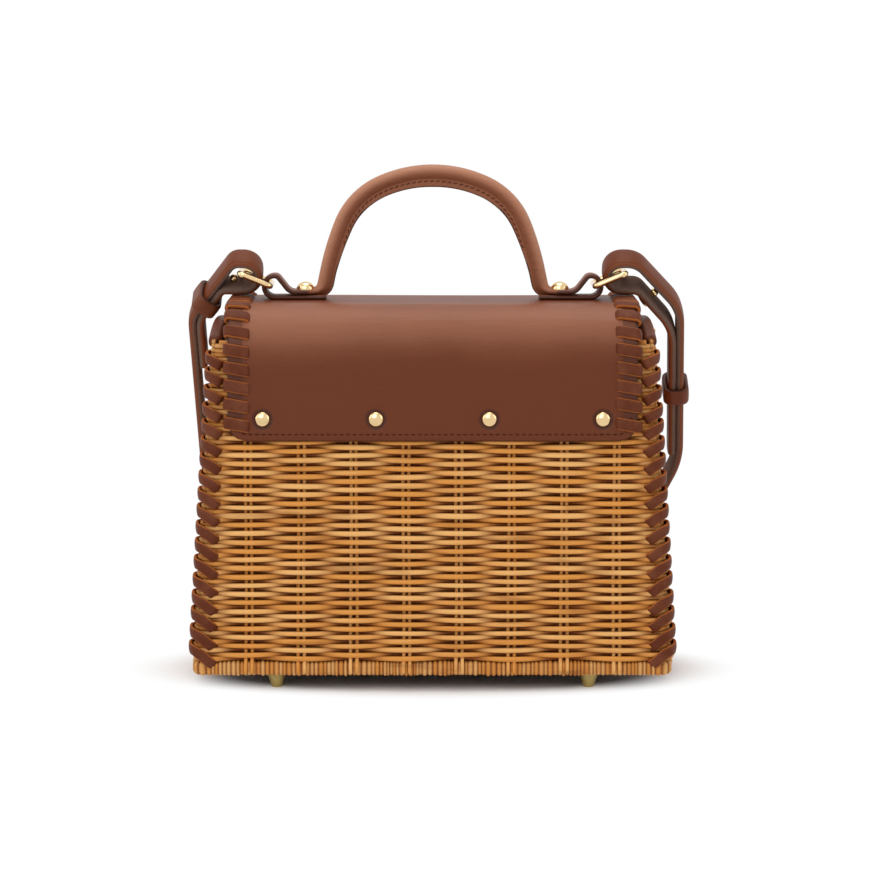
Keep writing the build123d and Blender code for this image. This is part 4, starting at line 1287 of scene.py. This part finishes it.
def handle_section(carry, distance, ankle, reach):
    """Sections of the handle along its line: a roll with a flange under it, turning into a flat tab past the
    ankle. In the direction of each angle the roll's radius is the larger of the circle's and the flange's, and
    the tab's is that of a squared ellipse. Gives the sections, the painted edges, and the polish of each point
    with a painted highlight that is strongest on the roll's upper side."""
    lift, squareness, bunching, tiny = 0.4 * MM, 5.5, 0.1925, 1e-6
    tab_start, tab_run, tip_paint, side_paint, paint_fade = 6 * MM, 11 * MM, 0.7 * MM, 0.9 * MM, 0.5 * MM
    spread = np.linspace(-math.pi, math.pi, 61)[:-1]
    turn = spread - bunching * np.sin(2 * spread) + math.pi / 2
    cosine, sine = np.cos(turn), np.sin(turn)
    beside, below = np.maximum(np.abs(cosine), tiny), np.maximum(-sine, tiny)
    tongue = np.minimum(carry.flange_thick / 2 / beside, (reach + lift) / below)
    rolled = np.maximum(carry.roll_radius - lift, np.where(sine < 0, tongue, 0))
    wide, tall = carry.tab_width / 2, carry.tab_thick / 2
    flat = (np.abs(cosine / wide) ** squareness + np.abs(sine / tall) ** squareness) ** (-1 / squareness)
    share = smoothstep((distance - ankle - tab_start) / tab_run)[:, None]
    radius = rolled * (1 - share) + flat * share
    profile = np.stack([radius * cosine, radius * sine + lift * (1 - share)], axis=-1)
    tip = smoothstep((-sine * radius - reach - lift + tip_paint) / paint_fade) * (1 - share)
    cut = smoothstep((np.abs(cosine * radius) - wide + side_paint) / paint_fade) * share
    # Painted highlight: the roll's upper side is pushed to the palest leather and its sides less; the flange's
    # underside is lifted a little against its shade.
    polish_and_painted_highlight = np.interp(sine, [-1.0, -0.35, 0.0, 1.0], [0.9, 0.7, 1.1, 1.9])
    return profile, np.maximum(tip, cut), (1 - share) * polish_and_painted_highlight + 0.45 * share


class HANDBAG_OT_handle(Operator):
    """Roll and stitch the handle, with its tabs looped round the rings"""

    bl_idname = "handbag.handle"
    bl_label = "Handle"

    def execute(self, context):
        carry, leather = context.scene.handbag_carry, context.scene.handbag_leather
        half_line, half_distance, ankle, half_reach = handle_half(carry, leather)
        line = np.concatenate([half_line[:0:-1] * (-1, 1), half_line])
        signed = np.concatenate([-half_distance[:0:-1], half_distance])
        reach = np.concatenate([half_reach[:0:-1], half_reach])
        ahead = tangents(line)
        zero = np.zeros(len(line))
        path = np.stack([line[:, 0], zero, line[:, 1]], axis=-1)
        up = np.stack([ahead[:, 1], zero, -ahead[:, 0]], axis=-1)
        across = np.broadcast_to([0.0, 1.0, 0.0], path.shape)
        profile, edge, wear = handle_section(carry, np.abs(signed), ankle, reach[:, None])
        points = swept(path, across, up, profile)
        piece = Piece().add(points, tube_faces(len(line), profile.shape[1]), edge=edge, wear=wear)
        settle(piece, "rolled_handle", "brown_leather", "basket", "handle")
        # The seam ends where the flange hardly stands out of the roll.
        last = ankle * np.interp(carry.roll_radius + 1.0 * MM, [3.9 * MM, 5.0 * MM], [1.0, 0.75])
        spots = np.arange(-last, last, leather.stitch_pitch)
        seam, inward = (
            np.stack([np.interp(spots, signed, column) for column in lines.T], axis=-1) for lines in (path, up)
        )
        across = across[: len(spots)]
        depth = np.minimum(carry.seam_depth, np.interp(spots, signed, reach) - 0.9 * MM)[:, None]
        piece = Piece()
        for side in (-1, 1):
            middle = seam - inward * depth + side * across * (carry.flange_thick / 2 + 0.05 * MM)
            slanted = unit(np.cross(inward, across) + 0.25 * side * inward)
            add_stitches(piece, middle, slanted, side * across, leather)
        settle(piece, "handle_stitches", "brown_leather", "basket")
        return {"FINISHED"}


def add_stitches(piece, middle, ahead, normal, leather):
    """Stitches: short arcs of thread that rise out of the leather and dip back in, with rounded ends."""
    run = np.linspace(-1, 1, 9)
    lift = leather.stitch_radius * (1.1 * (1 - run**4) - 0.9)
    path = (
        middle[:, None]
        + run[:, None] * ahead[:, None] * leather.stitch_length / 2
        + lift[:, None] * normal[:, None]
    )
    side = np.broadcast_to(np.cross(ahead, normal)[:, None], path.shape)
    up = np.broadcast_to(normal[:, None], path.shape)
    girth = np.sqrt(np.clip(1 - np.abs(run) ** 4, 0.02, 1))[:, None, None]
    profile = circle_profile(6) * leather.stitch_radius * girth
    piece.add(swept(path, side, up, profile), tube_faces(len(run), 6, len(middle)))


class HANDBAG_OT_edge_stitches(Operator):
    """Sew along the lower edges of the cover and the flap"""

    bl_idname = "handbag.edge_stitches"
    bl_label = "Edge stitches"

    def execute(self, context):
        basket, leather = context.scene.handbag_basket, context.scene.handbag_leather
        inset = 3.2 * MM
        upper_end = 7 * MM + inset
        half = leather.half_width - inset
        corner = leather.corner_radius - inset
        outline = [(-half, upper_end), (-half, inset), (half, inset), (half, upper_end)]
        line = resampled(filleted(outline, [corner, corner], 0.3 * MM), leather.stitch_pitch)
        ahead = tangents(line)
        slope = unit(np.array([0.0, RIM_HIGH.y - basket.top_half_depth, basket.wall_height]))
        spot, normal = rear_point(basket, 0, leather.low_edge - RIM_HIGH.z, leather.stand + leather.thick)
        for mirror, body, name in ((1, "basket", "cover"), (-1, "flap", "flap")):
            flip = np.array([1, mirror, 1])
            middle = (spot + line[:, :1] * RIGHT + line[:, 1:] * slope) * flip
            heading = (ahead[:, :1] * RIGHT + ahead[:, 1:] * slope) * flip
            out = np.broadcast_to(normal * flip, middle.shape)
            piece = Piece()
            add_stitches(piece, middle, heading, out, leather)
            settle(piece, name + "_edge_stitches", "thread", body, slot="brown_leather")
        return {"FINISHED"}


def strap_axes(carry):
    """Directions of the leaning strap plane: up the plane, and across it, which is the strap's width."""
    lean = carry.strap_lean
    return (
        np.array([0.0, -math.sin(lean), math.cos(lean)]),
        np.array([0.0, math.cos(lean), math.sin(lean)]),
    )


def in_strap_plane(carry, flat):
    """Points of the strap plane, put into space."""
    up = strap_axes(carry)[0]
    return flat[..., :1] * RIGHT + flat[..., 1:] * up + carry.strap_origin * UP


def shifted(start, end, space):
    """The line from start to end, moved to its right by space."""
    run = unit(np.subtract(end, start))
    aside = space * np.array([run[1], -run[0]])
    return np.asarray(start) + aside, np.asarray(end) + aside


def at_level(start, end, level):
    """Where the line through two points of the strap plane reaches a level."""
    return np.array([start[0] + (end[0] - start[0]) * (level - start[1]) / (end[1] - start[1]), level])


def meeting(first, second):
    """Where two lines, each given by two points, cross."""
    a, b = first
    c, d = second
    ahead, other, gap = b - a, d - c, c - a
    return a + ahead * (gap[0] * other[1] - gap[1] * other[0]) / (ahead[0] * other[1] - ahead[1] * other[0])


def strap_corners(carry):
    """Corners of the strap's line in its plane, from the right tail to the left tail, with their radii,
    and the pairs of layers that the keepers go round."""
    loop, place, space = carry.strap_loop, carry.strap_loop_place, carry.layer_space
    right_side, right_low = np.array([114.6, -18.0]) * MM, np.array([118.3, -103.0]) * MM
    left_fall, left_side = np.array([-91.5 * MM, loop]), np.array([-111.6, -22.0]) * MM
    left_low = np.array([-109.5, -110.0]) * MM
    right_tail = shifted(right_side, right_low, space)
    left_tail_high = shifted(left_fall, left_side, -space)
    left_tail_low = shifted(left_side, left_low, -space)
    corners = [
        at_level(*right_tail, -99.0 * MM),
        at_level(*right_tail, -28.0 * MM),
        (94.5 * MM, -loop),
        (place - loop, -loop),
        (place - loop, loop),
        (93.5 * MM, loop),
        right_side,
        right_low,
        (78.0 * MM, carry.strap_floor),
        (-70.0 * MM, carry.strap_floor),
        left_low,
        left_side,
        left_fall,
        (-place + loop, loop),
        (-place + loop, -loop),
        at_level(*left_tail_high, -loop),
        meeting(left_tail_high, left_tail_low),
        at_level(*left_tail_low, -49.0 * MM),
    ]
    turn = loop / MM * 0.99
    radii = [24, 5, turn, turn, 10, 24, 45, 55, 55, 45, 15, 5, turn, turn, 3, 15]
    return corners, np.array(radii) * MM, (right_side, right_low), (left_fall, left_side)


def crowned(profile, rise):
    """A flat profile with both faces swelled out to a rise at the middle of their width."""
    half = np.abs(profile[:, 0]).max()
    swell = rise * (1 - (profile[:, 0] / half) ** 2) * np.sign(profile[:, 1])
    return profile + np.stack([np.zeros(len(profile)), swell], axis=-1)


def keeper(carry, start, end, share, sign):
    """A closed band round both layers of the strap, at a share of a run of the strap's plane."""
    up_plane, width_axis = strap_axes(carry)
    along = unit(end - start)
    inward = np.array([along[1], -along[0]]) * sign
    spot = in_strap_plane(carry, start + (end - start) * share + inward * carry.layer_space / 2)
    axis = along[0] * RIGHT + along[1] * up_plane
    out = -(inward[0] * RIGHT + inward[1] * up_plane)
    room = 2 * carry.keeper_room + carry.keeper_thick
    deep = carry.layer_space + carry.strap_thick + room
    ring = rounded_profile(carry.strap_width + room, deep, 3.0 * MM, 8, 8)
    loop = spot + ring[:, :1] * width_axis + ring[:, 1:] * out
    outward = np.cross(unit(np.roll(loop, -1, axis=0) - np.roll(loop, 1, axis=0)), axis)
    section = rounded_profile(carry.keeper_length, carry.keeper_thick, carry.keeper_thick * 0.45, 4, 4)
    section = crowned(section, 0.2 * MM)
    points = swept(loop, np.broadcast_to(axis, loop.shape), outward, section)
    faces = [grid_quads(len(loop), len(section), close_rows=True, close_columns=True)]
    return Piece().add(points, faces, edge=edge_share(section) * 0.9, wear=0.25)


class HANDBAG_OT_strap(Operator):
    """Lay the strap and its keepers: a crowned strip along runs and arcs drawn in a leaning plane"""

    bl_idname = "handbag.strap"
    bl_label = "Strap and keepers"

    def execute(self, context):
        carry = context.scene.handbag_carry
        corners, radii, right_run, left_run = strap_corners(carry)
        line = filleted(corners, radii, 1.2 * MM)
        ahead = tangents(line)
        path = in_strap_plane(carry, line)
        up_plane, width_axis = strap_axes(carry)
        normal = ahead[:, 1:] * RIGHT - ahead[:, :1] * up_plane
        across = np.broadcast_to(width_axis, path.shape)
        profile = rounded_profile(carry.strap_width, carry.strap_thick, carry.strap_thick * 0.42, 4, 5)
        profile = crowned(profile, 0.14 * carry.strap_thick)
        # The halves meet in the middle of the lowest run; points of the higher runs count as a metre off.
        high_runs = line[:, 1] > carry.strap_floor + 30 * MM
        middle = np.argmin(np.abs(line[:, 0]) + high_runs)
        halves = {"right": slice(0, middle + 1), "left": slice(middle, len(line))}
        # From where to where each half bends when its ring swings, in millimetres of the strap plane.
        bends = {"right": ((101.0, -13.0), (110.5, -39.0)), "left": ((-111.0, -22.0), (-110.0, -96.0))}
        flesh = smoothstep(0.5 + profile[:, 1] / (carry.strap_thick * 0.4))
        edge = edge_share(profile)
        for side, part in halves.items():
            points = swept(path[part], across[part], normal[part], profile)
            piece = Piece().add(points, tube_faces(len(points), len(profile)), edge=edge, flesh=flesh)
            strap = piece.build("shoulder_strap_" + side, finished("strap_leather"))
            start, end = in_strap_plane(carry, np.array(bends[side]) * MM)
            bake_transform(strap, side + "_ring", "basket", start=tuple(start), end=tuple(end))
            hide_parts("shoulder_strap")
        right_share, left_share = 46.5 / 85.0, 0.72
        for side, run in (("right", (*right_run, right_share, 1)), ("left", (*left_run, left_share, -1))):
            name = "keeper_" + side
            settle(keeper(carry, *run), "strap_" + name, "brown_leather", side + "_keeper", name)
        return {"FINISHED"}


class HANDBAG_OT_hardware(Operator):
    """Give the rings, studs, feet and base panel their finishes"""

    bl_idname = "handbag.hardware"
    bl_label = "Hardware"

    def execute(self, context):
        finishes = {
            "ring_": "pale_brass",
            "strap_stud_": "pale_brass",
            "foot_": "foot_brass",
            "base_panel": "board",
        }
        for name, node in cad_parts.items():
            for start, finish in finishes.items():
                if name.startswith(start):
                    node.data.materials.clear()
                    node.data.materials.append(finished(finish))
        return {"FINISHED"}


def floor_finish(stage):
    """Pale matt floor that takes the bag's shadow, and turns plain white away from the bag for what is seen."""
    finish = Finish("pale_floor")
    speck = finish.noise(300, 2)
    finish.set(Base_Color=finish.blend(speck, (0.94, 0.94, 0.94), (0.96, 0.96, 0.96)), Roughness=0.9)
    finish.set(Specular_IOR_Level=0.2)
    spot = finish.place((0.45, 1, 1))
    away = finish.node("ShaderNodeVectorMath", {"operation": "LENGTH"}, {0: spot}, "Value")
    white = finish.node("ShaderNodeEmission", {}, {"Color": (1, 1, 1), "Strength": 1.0})
    share = finish.seen() * finish.steps(away, stage.floor_near, stage.floor_far)
    matt = Wire(finish, finish.shader.outputs[0])
    mixed = finish.node("ShaderNodeMixShader", {}, {0: share, 1: matt, 2: white})
    finish.feed(finish.tree.nodes["Material Output"].inputs["Surface"], mixed)
    return finish.material


def studio_world(stage):
    """Even light all round, with white behind the bag for what the camera and the gloss see."""
    world = bpy.data.worlds.new("studio")
    world.use_nodes = True
    nodes = Nodes(world.node_tree)
    nodes.tree.nodes.clear()
    plain, white = (
        nodes.node("ShaderNodeBackground", {}, {"Color": (1, 1, 1), "Strength": strength})
        for strength in (stage.sky, 1.0)
    )
    mixed = nodes.node("ShaderNodeMixShader", {}, {0: nodes.seen(), 1: plain, 2: white})
    nodes.node("ShaderNodeOutputWorld", {}, {"Surface": mixed})
    return world


class HANDBAG_OT_stage(Operator):
    """Set the floor, the lights and the camera"""

    bl_idname = "handbag.stage"
    bl_label = "Stage"

    def execute(self, context):
        scene = context.scene
        stage = scene.handbag_stage
        scene.view_settings.view_transform = "Standard"
        scene.world = studio_world(stage)
        half = stage.floor_size / 2
        corners = [(-half, -half, 0), (half, -half, 0), (half, half, 0), (-half, half, 0)]
        floor = bpy.data.meshes.new("floor")
        floor.from_pydata(corners, [], [(0, 1, 2, 3)])
        floor.materials.append(floor_finish(stage))
        floor_piece = bpy.data.objects.new("floor", floor)
        scene.collection.objects.link(floor_piece)
        target = Vector((0, 0, stage.target_height))
        lights = (
            ("key", stage.key_power, 1.4, (-0.55, -1.5, 1.35)),
            ("left_side", stage.side_power, 1.0, (-1.5, -0.2, 0.8)),
            ("right_side", stage.side_power, 1.0, (1.5, -0.3, 0.8)),
            ("top", stage.top_power, 1.0, (0.0, 0.20, 1.9)),
        )
        for name, power, size, spot in lights:
            lamp = bpy.data.lights.new(name, "AREA")
            lamp.energy, lamp.size = power, size
            self.aim(scene, name, lamp, Vector(spot), target)
        lens = bpy.data.cameras.new("camera")
        lens.lens, lens.shift_x, lens.shift_y = stage.lens, stage.shift_x, stage.shift_y
        back = Vector((0, -math.cos(stage.elevation), math.sin(stage.elevation))) * stage.distance
        scene.camera = self.aim(scene, "camera", lens, target + back, target)
        return {"FINISHED"}

    def aim(self, scene, name, data, spot, target):
        """Puts a light or a camera at a spot, turned to look at the target."""
        holder = bpy.data.objects.new(name, data)
        holder.location = spot
        holder.rotation_euler = (target - spot).to_track_quat("-Z", "Y").to_euler()
        scene.collection.objects.link(holder)
        return holder


STEPS = (
    HANDBAG_OT_walls,
    HANDBAG_OT_rim,
    HANDBAG_OT_lining,
    HANDBAG_OT_corner_laces,
    HANDBAG_OT_bindings,
    HANDBAG_OT_leather,
    HANDBAG_OT_side_laces,
    HANDBAG_OT_rivets,
    HANDBAG_OT_handle,
    HANDBAG_OT_edge_stitches,
    HANDBAG_OT_strap,
    HANDBAG_OT_hardware,
    HANDBAG_OT_stage,
)


class HANDBAG_PT_panel(Panel):
    """The bag's pieces, and the sizes and colours that they are made with"""

    bl_label = "Rattan handbag"
    bl_idname = "HANDBAG_PT_panel"
    bl_space_type = "VIEW_3D"
    bl_region_type = "UI"
    bl_category = "Handbag"

    def draw(self, context):
        for step in STEPS:
            self.layout.operator(step.bl_idname)
        for name in SETTINGS:
            group = getattr(context.scene, name)
            box = self.layout.box()
            for key in group.bl_rna.properties.keys():
                if key not in ("rna_type", "name"):
                    box.prop(group, key)


SETTINGS = {
    "handbag_basket": BasketSizes,
    "handbag_leather": LeatherSizes,
    "handbag_carry": CarrySizes,
    "handbag_colours": FinishColours,
    "handbag_stage": StageSettings,
}
CLASSES = (*SETTINGS.values(), *STEPS, HANDBAG_PT_panel)


def register():
    """Adds the classes, and the settings to every scene."""
    for kind in CLASSES:
        bpy.utils.register_class(kind)
    for name, group in SETTINGS.items():
        setattr(bpy.types.Scene, name, PointerProperty(type=group))


def unregister():
    """Takes the settings and the classes away again."""
    for name in SETTINGS:
        delattr(bpy.types.Scene, name)
    for kind in reversed(CLASSES):
        bpy.utils.unregister_class(kind)


def main():
    """Makes the pieces and the stage in order."""
    register()
    for step in STEPS:
        group, name = step.bl_idname.split(".")
        getattr(getattr(bpy.ops, group), name)()


if __name__ == "__main__":
    main()
